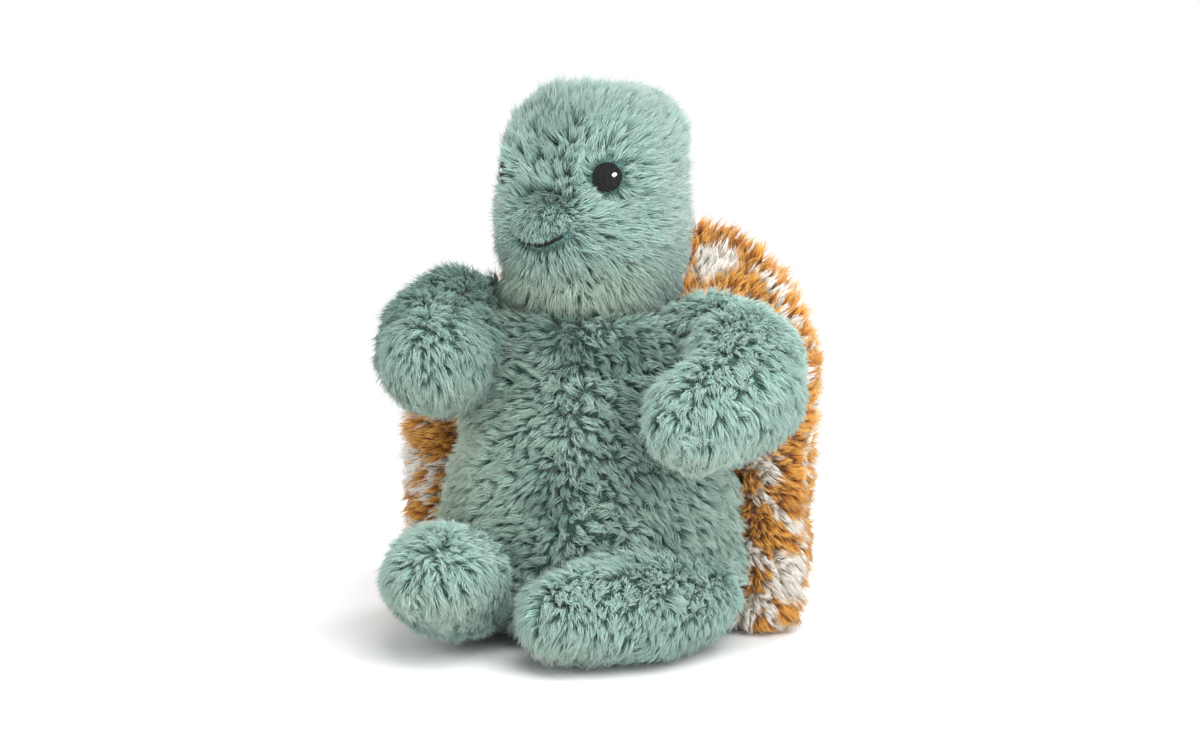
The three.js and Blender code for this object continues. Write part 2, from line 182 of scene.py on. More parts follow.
class Nodes:
    # the node tree of a material or of the world
    def __init__(self, owner):
        owner.use_nodes = True
        self.tree = owner.node_tree
        self.tree.nodes.clear()

    def node(self, kind, settings, inputs):
        made = self.tree.nodes.new(kind)
        for name, value in settings.items():
            setattr(made, name, value)
        for name, value in inputs.items():
            if isinstance(value, Wire):
                self.tree.links.new(value.socket, made.inputs[name])
            else:
                made.inputs[name].default_value = value
        return Outputs(self, made)

    def vector(self, operation, inputs, output=0):
        return self.node("ShaderNodeVectorMath", {"operation": operation}, inputs)[output]

    def background(self):
        # 1 for the rays that show what is behind: the camera's own, reflected ones and those through glass
        rays = self.node("ShaderNodeLightPath", {}, {})
        seen = rays["Is Camera Ray"]
        for name in ("Is Glossy Ray", "Is Transmission Ray"):
            seen = seen.sum("MAXIMUM", seen, rays[name])
        return seen


class Finish(Nodes):
    # one material with its shader
    def __init__(self, name, uniform):
        self.material = bpy.data.materials.new(name)
        super().__init__(self.material)
        self.shader = self.node("ShaderNodeBsdfPrincipled", {}, uniform)
        self.output = self.node("ShaderNodeOutputMaterial", {}, {"Surface": self.shader["BSDF"]})

    def attribute(self, name, output="Fac"):
        return self.node("ShaderNodeAttribute", {"attribute_name": name}, {})[output]

    def objectPlace(self):
        return self.node("ShaderNodeTexCoord", {}, {})["Object"]

    def mix(self, factor, first, second):
        return self.node("ShaderNodeMix", {"data_type": "RGBA"}, {0: factor, 6: first, 7: second})[2]

    def ease(self, value, low, high):
        settings = {"interpolation_type": "SMOOTHSTEP"}
        inputs = {"Value": value, "From Min": low, "From Max": high}
        return self.node("ShaderNodeMapRange", settings, inputs)["Result"]

    def brighter(self, colour, share):
        return self.vector("SCALE", {0: colour, "Scale": share})

    def noise(self, place, scale, detail, output="Fac"):
        inputs = {"Vector": place, "Scale": scale, "Detail": detail}
        return self.node("ShaderNodeTexNoise", {}, inputs)[output]

    def rootToTip(self, along, look):
        # three colours along a strand: root, middle and tip
        root, middle, tip = look["colours"]
        low = self.mix(self.ease(along, 0, look["middleAt"]), root, middle)
        return self.mix(self.ease(along, look["tipFrom"], 1), low, tip)

    def set(self, name, value):
        self.tree.links.new(value.socket, self.shader.made.inputs[name])

    def bumped(self, height, distance, strength):
        inputs = {"Height": height, "Distance": distance, "Strength": strength}
        self.set("Normal", self.node("ShaderNodeBump", {}, inputs)["Normal"])


def colour(red, green, blue):
    return (*(((part / 255 + 0.055) / 1.055) ** 2.4 for part in (red, green, blue)), 1)


pileLook = {"roughness": 0.72, "roughnessRange": 0.2, "sheenRoughness": 0.4}
tealLook = {
    # root, middle and tip; the dark root is partly the fibre's own colour and partly painted shade deep in
    # the pile
    "colours": (colour(54, 100, 88), colour(162, 204, 195), colour(207, 236, 229)),
    "middleAt": 0.42, "tipFrom": 0.4, "sheen": 0.4,
    "warm": colour(204, 220, 196), "warmFrom": (0.1, 0.6),
    "deep": colour(70, 114, 99), "tipDeep": 0.5,  # the painted shade colour, and how much of it a tip is spared
    "patchSize": 26, "patchLeast": 0.84, "patchRange": 0.3, "toneLeast": 0.77, "toneRange": 0.36,
}
amberLook = {
    "colours": (colour(184, 108, 30), colour(230, 156, 52), colour(243, 196, 106)),
    "middleAt": 0.5, "tipFrom": 0.45, "sheen": 0.3, "toneLeast": 0.84, "toneRange": 0.22,
    "dark": colour(164, 96, 34), "darkShare": 0.55, "darkScale": 60, "darkFrom": (0.5, 0.66),
}
creamLook = {
    "colours": (colour(248, 232, 204), colour(250, 245, 235), colour(255, 252, 246)),
    "middleAt": 0.4, "tipFrom": 0.4,
    "patchSize": 29, "wanderScale": 50, "wander": 0.016, "raggedScale": 200, "ragged": 0.05,
    "veinFrom": 0.062, "veinTo": 0.086, "breakScale": 42, "breaks": (0.43, 0.46),
    "blotScale": 34, "blots": (0.7, 0.72),
}


def startPile(name, sheen):
    # the finish of a strand, how far along it each place is, its tone, and where on the skin it grows
    inputs = {"Roughness": 0.8, "Sheen Weight": sheen, "Sheen Roughness": pileLook["sheenRoughness"]}
    finish = Finish(name, inputs)
    tone = finish.attribute("tone")
    finish.set("Roughness", pileLook["roughness"] + pileLook["roughnessRange"] * tone)
    return finish, finish.attribute("along"), tone, finish.attribute("rootPlace", "Vector")


def makeTealPile():
    # warmth and shade are on the locks: how warm the pile is there, and how much painted shade darkens it,
    # with random patches in its strength
    look = tealLook
    finish, along, tone, place = startPile("tealPile", look["sheen"])
    patch = finish.noise(place, 1 / (look["patchSize"] * mm), 3)
    warmth = finish.attribute("warmth") * finish.ease(along, *look["warmFrom"])
    warmed = finish.mix(warmth, finish.rootToTip(along, look), look["warm"])
    # painted shade, darkest at the roots
    paintedShade = finish.attribute("shade") * (1 - look["tipDeep"] * along)
    shaded = finish.mix(paintedShade, warmed, look["deep"])
    light = look["toneLeast"] + look["toneRange"] * tone
    light = light * (look["patchLeast"] + look["patchRange"] * patch)
    finish.set("Base Color", finish.brighter(shaded, light))
    return finish.material


def creamShare(finish, place):
    # cream veins and blots between the amber patches, by place on the shell
    look = creamLook
    wander = finish.noise(place, look["wanderScale"], 1, "Color")
    shift = finish.vector("SUBTRACT", {0: wander, 1: (0.5, 0.5, 0.5)})
    bent = finish.vector("ADD", {0: place, 1: finish.brighter(shift, look["wander"])})
    inputs = {"Vector": bent, "Scale": 1 / (look["patchSize"] * mm)}
    edge = finish.node("ShaderNodeTexVoronoi", {"feature": "DISTANCE_TO_EDGE"}, inputs)["Distance"]
    ragged = edge + look["ragged"] * (finish.noise(place, look["raggedScale"], 1) - 0.5)
    veins = 1 - finish.ease(ragged, look["veinFrom"], look["veinTo"])
    breaks = finish.ease(finish.noise(place, look["breakScale"], 1), *look["breaks"])
    blots = finish.ease(finish.noise(bent, look["blotScale"], 1), *look["blots"])
    return 1 - (1 - veins * breaks) * (1 - blots)


def makeShellPile():
    look = amberLook
    finish, along, tone, place = startPile("shellPile", look["sheen"])
    dark = finish.ease(finish.noise(place, look["darkScale"], 2), *look["darkFrom"])
    amber = finish.mix(look["darkShare"] * dark, finish.rootToTip(along, look), look["dark"])
    both = finish.mix(creamShare(finish, place), amber, finish.rootToTip(along, creamLook))
    finish.set("Base Color", finish.brighter(both, look["toneLeast"] + look["toneRange"] * tone))
    return finish.material


backingLook = {
    "loopScale": 1300, "fibreScale": 1500, "fibres": (0.38, 0.62), "patchScale": 60,
    "patchLeast": 0.5, "patchRange": 0.6, "bumpHeight": 0.5, "bumpStrength": 0.8,
}


def makeBacking(name, dark, light, pale=None):
    # the knitted back and the roots of the pile, seen only deep between the locks; its dark colour is partly
    # its own and partly painted shade for those gaps
    look = backingLook
    finish = Finish(name, {"Roughness": 0.95, "Sheen Weight": 0.1})
    place = finish.objectPlace()
    inputs = {"Vector": place, "Scale": look["loopScale"]}
    loops = finish.node("ShaderNodeTexVoronoi", {}, inputs)["Distance"]
    fibres = finish.ease(finish.noise(place, look["fibreScale"], 2), *look["fibres"])
    patch = finish.noise(place, look["patchScale"], 3)
    base = finish.mix(fibres * (look["patchLeast"] + look["patchRange"] * patch), dark, light)
    if pale:
        base = finish.mix(creamShare(finish, place), base, pale)
    finish.set("Base Color", base)
    finish.bumped(loops + fibres, look["bumpHeight"] * mm, look["bumpStrength"])
    return finish.material


threadLook = {
    "fibreScale": 2600, "patchScale": 320, "roughness": 0.5, "roughnessRange": 0.3,
    "bumpHeight": 0.12, "bumpStrength": 0.7,
}


def makeThread(name, dark, light):
    look = threadLook
    finish = Finish(name, {"Roughness": 0.6, "Sheen Weight": 0.04, "Specular IOR Level": 0.3})
    place = finish.objectPlace()
    fibres = finish.noise(place, look["fibreScale"], 3)
    finish.set("Base Color", finish.mix(finish.noise(place, look["patchScale"], 2), dark, light))
    finish.set("Roughness", look["roughness"] + look["roughnessRange"] * fibres)
    finish.bumped(fibres, look["bumpHeight"] * mm, look["bumpStrength"])
    return finish.material


tealPile = makeTealPile()
shellPile = makeShellPile()
tealBacking = makeBacking("tealBacking", colour(44, 88, 79), colour(122, 168, 157))
amberBacking = makeBacking("amberBacking", colour(128, 74, 24), colour(214, 148, 66), colour(232, 220, 200))
blackThread = makeThread("blackThread", colour(8, 8, 10), colour(24, 23, 27))
whiteThread = makeThread("whiteThread", colour(232, 230, 226), colour(250, 249, 246))
print("materials made")


# Stuffed forms. A level form has oval sections at each height, and a limb has them square to a bowed spine.
def alongShares(shares, way):
    # a smooth curve through the shares, read at a way from 0 to 1
    shares = np.asarray(shares, float)
    last = len(shares) - 1
    place = np.clip(way, 0, 1) * last
    start = np.minimum(place.astype(int), last - 1)
    t = place - start
    before, first = shares[np.maximum(start - 1, 0)], shares[start]
    second, after = shares[start + 1], shares[np.minimum(start + 2, last)]
    leave, arrive = (second - before) / 2, (after - first) / 2
    cubic = 2 * first - 2 * second + leave + arrive
    square = -3 * first + 3 * second - 2 * leave - arrive
    return cubic * t ** 3 + square * t ** 2 + leave * t + first


def sectionAt(form, height, inset=0):
    way = (height - form["bottom"]) / (form["top"] - form["bottom"])
    lean = form.get("lean", 0) * alongShares(form.get("leanShares", [0, 0]), way)
    return {
        "halfWidth": form["halfWidth"] * alongShares(form["widthShares"], way) - inset,
        "front": form["front"] * alongShares(form["frontShares"], way) - inset,
        "back": form["back"] * alongShares(form["backShares"], way) - inset,
        "middle": form["middle"] + lean,
    }


def frontAt(form, across, height):
    section = sectionAt(form, np.asarray(height, float))
    left = 1 - np.abs(across / section["halfWidth"]) ** form["fullness"]
    return section["middle"] - section["front"] * np.maximum(left, 0) ** (1 / form["fullness"])


def gridFaces(rings, sides):
    # quads between rings of points, and a fan to one point at each end
    faces = []
    for ring in range(rings - 1):
        for side in range(sides):
            here, beside = ring * sides + side, ring * sides + (side + 1) % sides
            faces.append((here, beside, beside + sides, here + sides))
    first, last = rings * sides, rings * sides + 1
    for side in range(sides):
        beside = (side + 1) % sides
        faces.append((first, beside, side))
        faces.append((last, (rings - 1) * sides + side, (rings - 1) * sides + beside))
    return faces


def levelForm(form, inset, sides=72, levels=40, edgeLevels=7):
    bottom, top = form["bottom"] + inset, form["top"] - inset
    lower, upper = form["lowerEdge"] - inset, form["upperEdge"] - inset
    turn = np.linspace(math.pi / 2, 0, edgeLevels, endpoint=False)
    lowHeights, lowShrinks = bottom + lower * (1 - np.sin(turn)), lower * (1 - np.cos(turn))
    highHeights, highShrinks = top - upper * (1 - np.sin(turn)), upper * (1 - np.cos(turn))
    between = np.linspace(bottom + lower, top - upper, levels)
    heights = np.concatenate([lowHeights, between, highHeights[::-1]])
    shrinks = np.concatenate([lowShrinks, np.zeros(levels), highShrinks[::-1]])
    section = sectionAt(form, heights, inset + shrinks)
    angle = np.linspace(0, 2 * math.pi, sides, endpoint=False)
    across = np.sign(np.cos(angle)) * np.abs(np.cos(angle)) ** (2 / form["fullness"])
    ahead = np.sign(np.sin(angle)) * np.abs(np.sin(angle)) ** (2 / form["fullness"])
    depth = np.where(ahead < 0, section["front"][:, None], section["back"][:, None])
    x = section["halfWidth"][:, None] * across
    y = section["middle"][:, None] + depth * ahead
    z = np.broadcast_to(heights[:, None], x.shape)
    points = np.stack([x, y, z], -1).reshape(-1, 3)
    ends = [(0, sectionAt(form, np.array(height))["middle"], height) for height in (bottom, top)]
    return np.vstack([points, ends]), gridFaces(len(heights), sides)


def limbSpine(limb, way):
    way = np.asarray(way, float)[..., None]
    middle = np.array([2 * limb["side"] * limb["bow"], -limb["length"] / 2, 0])
    end = np.array([0, -limb["length"], 0])
    place = 2 * way * (1 - way) * middle + way ** 2 * end
    tangent = unit(2 * (1 - 2 * way) * middle + 2 * way * end)
    return place, tangent


def limbForm(limb, inset, sides=48, steps=26, capSteps=8):
    caps = np.linspace(-math.pi / 2, 0, capSteps + 1)[1:-1]
    ways = np.concatenate([np.zeros(len(caps)), np.linspace(0, 1, steps), np.ones(len(caps))])
    turns = np.concatenate([caps, np.zeros(steps), -caps[::-1]])
    place, tangent = limbSpine(limb, ways)
    aside = np.cross((0, 0, 1), tangent)
    swell = alongShares(limb["swellShares"], ways)
    halfWidth, halfHeight = limb["halfWidth"] * swell - inset, limb["halfHeight"] * swell - inset
    place = place + tangent * ((halfWidth + halfHeight) / 2 * np.sin(turns))[:, None]
    angle = np.linspace(0, 2 * math.pi, sides, endpoint=False)
    wide = (halfWidth * np.cos(turns))[:, None] * np.cos(angle)
    tall = (halfHeight * np.cos(turns))[:, None] * np.sin(angle)
    points = place[:, None] + wide[..., None] * aside[:, None] + tall[..., None] * np.array([0, 0, 1])
    ends = []
    for way, sign in ((0, -1), (1, 1)):
        tip, heading = limbSpine(limb, way)
        share = alongShares(limb["swellShares"], np.array(float(way)))
        reach = (limb["halfWidth"] + limb["halfHeight"]) / 2 * share - inset
        ends.append(tip + sign * heading * reach)
    return np.vstack([points.reshape(-1, 3), ends]), gridFaces(len(ways), sides)


# Stuffing a skin: remeshed evenly, blown up as cloth between its seams, and smoothed once.
stuffingValues = {
    "voxel": 5, "seamReach": 0.55, "frames": 20,
    "cloth": {
        "quality": 6, "mass": 0.2, "use_pressure": True, "uniform_pressure_force": 4,
        "tension_stiffness": 12, "compression_stiffness": 12, "bending_stiffness": 0.4, "shrink_min": -0.03,
    },
}


def remesh(skin, voxel):
    change = skin.modifiers.new("even", "REMESH")
    change.mode = "VOXEL"
    change.voxel_size = voxel * mm
    applyModifiers(skin)


def inflate(skin, seams, most):
    # seams gives, for each point, how far it is from the nearest seam, and no point moves further than most
    start = pointsOf(skin)
    held = skin.vertex_groups.new(name="seams")
    reach = stuffingValues["voxel"] * stuffingValues["seamReach"]
    held.add([int(i) for i in np.flatnonzero(seams(start) < reach)], 1, "REPLACE")
    change = skin.modifiers.new("stuffing", "CLOTH")
    for name, value in stuffingValues["cloth"].items():
        setattr(change.settings, name, value)
    change.settings.effector_weights.gravity = 0
    change.settings.vertex_group_mass = "seams"
    change.collision_settings.use_collision = False
    change.collision_settings.use_self_collision = False
    change.point_cache.frame_start = 1
    change.point_cache.frame_end = stuffingValues["frames"]
    for number in range(1, stuffingValues["frames"] + 1):
        scene.frame_set(number)
    blown = skin.evaluated_get(bpy.context.evaluated_depsgraph_get())
    step = pointsOf(blown) - start
    far = np.linalg.norm(step, axis=1, keepdims=True)
    step *= np.minimum(1, most / np.maximum(far, 1e-6))
    skin.modifiers.clear()
    skin.vertex_groups.clear()
    setPoints(skin, start + step)
    scene.frame_set(1)


def lumps(skin, values, seed):
    points = pointsOf(skin)
    rise = noiseAt(points, values["lumpSize"], seed)[:, 0] * values["lumpHeight"]
    setPoints(skin, points + normalsOf(skin) * rise[:, None])


def stuff(skin, values, seams, seed):
    inflate(skin, seams, values["most"])
    smooth = skin.modifiers.new("smooth", "SUBSURF")
    smooth.levels = 1
    applyModifiers(skin)
    lumps(skin, values, seed)


def finishSkin(skin, material):
    skin.data.materials.clear()
    skin.data.materials.append(material)
    skin.data.polygons.foreach_set("use_smooth", [True] * len(skin.data.polygons))


def finishSack(skin, values, material, slot, body, *nodes):
    # it stands for the CAD stuffing, and a limb's is given no body
    finishSkin(skin, material)
    if body:
        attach(skin, body)
    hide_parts(*nodes)
    return skin


def insideForm(form, points, inset):
    # inside the level form when that is shrunk by the inset
    section = sectionAt(form, points[:, 2], inset)
    depth = np.where(points[:, 1] < section["middle"], section["front"], section["back"])
    across = np.abs(points[:, 0]) / np.maximum(section["halfWidth"], 1)
    ahead = np.abs(points[:, 1] - section["middle"]) / np.maximum(depth, 1)
    within = across ** form["fullness"] + ahead ** form["fullness"] < 1
    return within & (points[:, 2] < form["top"] - inset)


torso = {
    "bottom": -0.5, "top": 176, "halfWidth": 81, "front": 72, "back": 52, "middle": 0,
    "lowerEdge": 20, "upperEdge": 14, "fullness": 2.2, "seatSeam": 12, "sideSeam": 6, "topSeam": 3,
    "widthShares": [0.93, 0.99, 1, 0.98, 0.93, 0.87, 0.8, 0.71],
    "frontShares": [0.84, 0.97, 1, 0.97, 0.91, 0.83, 0.75, 0.68],
    "backShares": [0.86, 0.96, 1, 0.98, 0.93, 0.88, 0.82, 0.72],
    "inset": 7.4, "most": 3.5, "lumpSize": 26, "lumpHeight": 2.4, "seatSink": 2, "fill": 0.8,
    "valley": 2, "valleyWidth": 5, "valleyFrom": (0, 20),  # the crease down the belly's seam
}
neck = {
    "radius": 39.3, "inset": 6.5, "play": 0.6, "sides": 48, "rings": 22, "lumpSize": 14, "lumpHeight": 0.3,
    "fill": 0.9,
}
neckMiddle = pivotOf("head_turn")


def clearNeck(points, middle):
    # points inside the ball of the neck are moved out onto it
    radius = neck["radius"] - neck["inset"] + neck["play"]
    away = points - middle
    far = np.linalg.norm(away, axis=1)
    inside = far < radius
    points[inside] = middle + away[inside] * (radius / np.maximum(far[inside], 1e-6))[:, None]


def makeTorsoSkin():
    skin = makeObject("torsoSack", *levelForm(torso, torso["inset"]))
    remesh(skin, stuffingValues["voxel"])
    points = pointsOf(skin)
    clearNeck(points, neckMiddle)
    setPoints(skin, points)

    def seams(places):
        middle = np.abs(places[:, 0])
        side = np.abs(places[:, 1] - torso["sideSeam"])
        seat = np.abs(places[:, 2] - torso["seatSeam"])
        top = np.where(places[:, 2] > torso["top"] - torso["inset"] - torso["topSeam"], 0, nowhereNear)
        return np.minimum.reduce([middle, side, seat, top])

    stuff(skin, torso, seams, 1)
    points = pointsOf(skin)
    ahead = easeBetween(-points[:, 1], *torso["valleyFrom"])
    dip = torso["valley"] * bump(points[:, 0], torso["valleyWidth"]) * ahead
    points -= normalsOf(skin) * dip[:, None]
    points[:, 2] = np.maximum(points[:, 2], torso["inset"] - torso["seatSink"])
    setPoints(skin, points)
    return finishSack(skin, torso, tealBacking, "teal_pile", "torso", "torso_stuffing", "pellet_pouch")


def makeNeckSkin():
    sides, rings = neck["sides"], neck["rings"]
    turn = np.linspace(0, math.pi, rings + 2)[1:-1, None]
    angle = np.linspace(0, 2 * math.pi, sides, endpoint=False)
    level = -np.cos(turn) * np.ones(sides)
    ball = np.stack([np.sin(turn) * np.cos(angle), np.sin(turn) * np.sin(angle), level], -1)
    points = np.vstack([ball.reshape(-1, 3), [(0, 0, -1), (0, 0, 1)]]) * (neck["radius"] - neck["inset"])
    points += noiseAt(points, neck["lumpSize"], 5) * neck["lumpHeight"]
    skin = makeObject("neckSack", points + neckMiddle, gridFaces(rings, sides))
    return finishSack(skin, neck, tealBacking, "teal_pile", "neck", "neck_stuffing")


shell = {
    "bottom": -0.5, "top": 219, "halfWidth": 118, "front": 14, "back": 72, "middle": 15, "lean": 52,
    "lowerEdge": 12, "upperEdge": 12, "fullness": 2.3,
    "widthShares": [0.92, 0.95, 0.96, 0.98, 1, 0.95, 0.77, 0.38],
    "frontShares": [1, 1, 1, 1, 1, 0.85, 0.45, 0.35],
    "backShares": [0.74, 0.93, 1.02, 1.03, 0.93, 0.62, 0.3, 0.14],
    "leanShares": [0, 0, 0, 0.02, 0.12, 0.42, 0.76, 1],
    "inset": 6.6, "levels": 54, "seatGap": 2.4, "most": 2.5, "lumpSize": 24, "lumpHeight": 2, "footSink": 1.5,
    "fill": 0.7, "aside": -5, "asideFrom": (60, 95),
    "droop": 18, "droopAcross": (30, 70), "droopHeights": (110, 170),  # its right shoulder hangs
}


def makeShellSkin():
    skin = makeObject("shellSack", *levelForm(shell, shell["inset"], levels=shell["levels"]))
    room = makeObject("seatRoom", *levelForm(torso, -shell["seatGap"]))
    cut = skin.modifiers.new("seat", "BOOLEAN")
    cut.operation = "DIFFERENCE"
    cut.solver = "EXACT"
    cut.object = room
    applyModifiers(skin)
    bpy.data.objects.remove(room)
    remesh(skin, stuffingValues["voxel"])

    def seams(places):
        section = sectionAt(shell, places[:, 2])
        rim = np.abs(places[:, 1] - (section["middle"] - section["front"] + shell["inset"]))
        back = np.abs(places[:, 0])
        return np.minimum(rim, np.where(places[:, 1] > section["middle"], back, nowhereNear))

    stuff(skin, shell, seams, 2)
    points = pointsOf(skin)
    points[:, 2] = np.maximum(points[:, 2], shell["inset"] - shell["footSink"])
    points[:, 0] += shell["aside"] * easeBetween(np.abs(points[:, 0]), *shell["asideFrom"])
    side = easeBetween(-points[:, 0], *shell["droopAcross"])
    points[:, 2] -= shell["droop"] * side * easeBetween(points[:, 2], *shell["droopHeights"])
    setPoints(skin, points)
    return finishSack(skin, shell, amberBacking, "shell_pile", "torso", "shell_stuffing", "shell_lining")


# The head is worked out in its own frame: the neck's middle is the origin, and -Y is where the face looks.
headAxis = joints["head_nod"]["axis"]
headTurn = math.atan2(headAxis[1], headAxis[0])
headMatrix = Matrix.Translation(Vector(neckMiddle)) @ Matrix.Rotation(headTurn, 4, "Z")
head = {
    "bottom": 6, "top": 128, "halfWidth": 48, "front": 42, "back": 51, "middle": -6,
    "lowerEdge": 20, "upperEdge": 24, "fullness": 2.4,
    "widthShares": [0.78, 0.93, 1, 1, 0.97, 0.91, 0.82],
    "frontShares": [0.8, 0.97, 1, 0.99, 0.95, 0.85, 0.66],
    "backShares": [0.82, 0.94, 1, 1, 0.99, 0.95, 0.87],
    "inset": 6.6, "voxel": 4, "most": 2.5, "lumpSize": 30, "lumpHeight": 1.6, "fill": 0.9,
    "underside": 16.6, "undersideRise": 0.116, "underSeam": 8, "faceFrom": (12, 34),
    "slope": 9, "slopeHeights": (96, 128), "slopeFrom": (0, 30),
    "crownHeights": (80, 128), "crownAside": 6, "crownFall": 3,  # it flops a little to its left
    "parting": 1.4, "partingWidth": 3.5, "partingHeights": (78, 86), "partingEnds": (108, 122),
}
muzzle = {
    "cheeks": {"height": 57, "halfWidth": 38, "halfHeight": 24, "proud": 7, "edge": (0.25, 1.05)},
    "ball": {"height": 61.5, "halfWidth": 14, "halfHeight": 11, "proud": 5.5},
    "crease": 72, "creaseWidth": 3, "creaseDepth": 2, "creaseAcross": (5, 15),
}
eye = {
    "height": 83, "aside": 32, "radius": 7.4, "thickness": 2.4, "crown": 0.9, "sunk": 2.2,
    "brow": 3.6, "browFar": (7, 17),
}
mouth = {
    "height": 48, "halfWidth": 14, "rise": 4, "tilt": 2, "castFrom": -120,
    "thread": 0.95, "proud": 3.5, "bare": 2.3,
}


def eyePlace(side):
    section = sectionAt(head, np.array(float(eye["height"])))
    ahead = float(frontAt(head, side * eye["aside"], eye["height"]))
    slope = head["fullness"] - 1
    out = unit(np.array([
        side * (eye["aside"] / section["halfWidth"]) ** slope / section["halfWidth"],
        -((section["middle"] - ahead) / section["front"]) ** slope / section["front"],
        0]))
    sink = eye["thickness"] / 2 - eye["crown"] + eye["sunk"]
    centre = np.array([side * eye["aside"], ahead, eye["height"]]) - out * sink
    return centre, out, np.cross((0, 0, 1), out)


def mouthHeight(way):
    return mouth["height"] + mouth["rise"] * way ** 2 + mouth["tilt"] * way


def mouthLine(tree, count):
    # the smile's line, laid on the head's skin
    heading = headMatrix.to_3x3() @ Vector((0, 1, 0))
    back = headMatrix.inverted()
    line = []
    for way in np.linspace(-1, 1, count):
        start = headMatrix @ Vector((mouth["halfWidth"] * way, mouth["castFrom"], mouthHeight(way)))
        line.append(back @ tree.ray_cast(start, heading)[0])
    return np.array(line)


def farFrom(points, line):
    return np.min(np.linalg.norm(points[:, None] - line[None], axis=2), axis=1)


def ovalShare(points, part, extra=0):
    # how far out in an oval of the muzzle each point is, 1 at its edge
    oval = muzzle[part]
    across = points[:, 0] / (oval["halfWidth"] + extra)
    return np.hypot(across, (points[:, 2] - oval["height"]) / (oval["halfHeight"] + extra))


def makeHeadSkin():
    skin = makeObject("headSack", *levelForm(head, head["inset"]))
    remesh(skin, head["voxel"])
    points = pointsOf(skin)
    flat = np.hypot(points[:, 0], points[:, 1])
    points[:, 2] = np.maximum(points[:, 2], head["underside"] + flat * head["undersideRise"])
    clearNeck(points, np.zeros(3))
    setPoints(skin, points)

    def seams(places):
        under = places[:, 2] < head["underside"] + head["underSeam"]
        return np.minimum(np.abs(places[:, 0]), np.where(under, 0, nowhereNear))

    stuff(skin, head, seams, 3)
    points = pointsOf(skin)
    across, height = points[:, 0], points[:, 2]
    ahead = easeBetween(-points[:, 1], *head["faceFrom"])
    cheeks, ball = ovalShare(points, "cheeks"), ovalShare(points, "ball")
    points[:, 1] -= ahead * muzzle["cheeks"]["proud"] * easeOff(cheeks, *muzzle["cheeks"]["edge"])
    points[:, 1] -= ahead * muzzle["ball"]["proud"] * np.sqrt(np.maximum(1 - ball ** 2, 0))
    crease = bump(height - muzzle["crease"], muzzle["creaseWidth"])
    crease = ahead * (crease * easeOff(np.abs(across), *muzzle["creaseAcross"]))
    points[:, 1] += crease * muzzle["creaseDepth"]
    slope = easeBetween(height, *head["slopeHeights"]) * easeBetween(-points[:, 1], *head["slopeFrom"])
    points[:, 1] += head["slope"] * slope
    crown = easeBetween(height, *head["crownHeights"])
    points[:, 2] -= head["crownFall"] * crown * across / head["halfWidth"]
    points[:, 0] += head["crownAside"] * crown
    parting = bump(across, head["partingWidth"]) * easeBetween(height, *head["partingHeights"])
    points[:, 1] += ahead * (parting * easeOff(height, *head["partingEnds"])) * head["parting"]
    for side in (1, -1):
        centre, out, _ = eyePlace(side)
        near = np.linalg.norm(points - centre, axis=1)
        points += out * (eye["brow"] * easeOff(near, *eye["browFar"]))[:, None]
    setPoints(skin, moved(points, headMatrix))
    return finishSack(skin, head, tealBacking, "teal_pile", "head", "head_stuffing")


limbShapes = {
    "arm": {
        "length": 78, "halfWidth": 33, "halfHeight": 33, "swellShares": [0.8, 0.98, 1, 0.85],
        "bendEnd": 34, "lumpHeight": 2,
    },
    "leg": {
        "length": 76, "halfWidth": 35, "halfHeight": 28.5, "swellShares": [0.86, 1, 1, 0.84],
        "bendEnd": 32, "lumpHeight": 1.8,
    },
}
# shaded is painted shade on a limb's root half; the arm on the right has most, as it lies in the head's
# shadow
limbPoses = {
    "arm_left": {"side": 1, "turnedOut": 14, "lifted": -22, "bow": 20, "shaded": 0.1, "rootRise": 2},
    "arm_right": {"side": -1, "turnedOut": -3, "lifted": -4, "bow": 8, "shaded": 1, "rootRise": 8},
    "leg_left": {"side": 1, "turnedOut": -33, "lifted": 0, "bow": 3, "shaded": 0.1, "rootRise": 0},
    "leg_right": {"side": -1, "turnedOut": -11, "lifted": 12, "bow": 0, "shaded": 0.1, "rootRise": 0},
}
limbCommon = {
    "inset": 7, "voxel": 4.5, "most": 2.8, "lumpSize": 22, "fill": 0.7, "rootSeam": 10,
    "riseHeights": (5, 28), "riseEnds": (18, 52), "legFloor": 4.5, "gap": 0.4, "gapReach": 4,
}


def limbOf(name):
    kind, word = name.split("_")
    limb = {**limbCommon, **limbShapes[kind], **limbPoses[name]}
    limb.update(name=name, kind=kind, word=word.capitalize())
    turn = Matrix.Rotation(math.radians(limb["side"] * limb["turnedOut"]), 4, "Z")
    lift = Matrix.Rotation(math.radians(-limb["lifted"]), 4, "X")
    limb["matrix"] = Matrix.Translation(Vector(pivotOf(name + "_lift"))) @ turn @ lift
    return limb


def bendLimb(piece, limb):
    # the piece's placing is baked into its mesh; nothing is bent here
    place, _ = limbSpine(limb, limb["bendEnd"] / limb["length"])
    ends = moved(np.array([(0, 0, 0), place]), limb["matrix"]) * mm
    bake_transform(piece)


def standOff(points, form, tree):
    # points inside the other skin, or nearer than the gap, are moved out onto it
    gap = limbCommon["gap"]
    for i in np.flatnonzero(insideForm(form, points, form["inset"] - limbCommon["gapReach"])):
        near, normal, _, distance = tree.find_nearest(Vector(points[i]))
        if (Vector(points[i]) - near).dot(normal) < 0 or distance < gap:
            points[i] = near + normal * gap


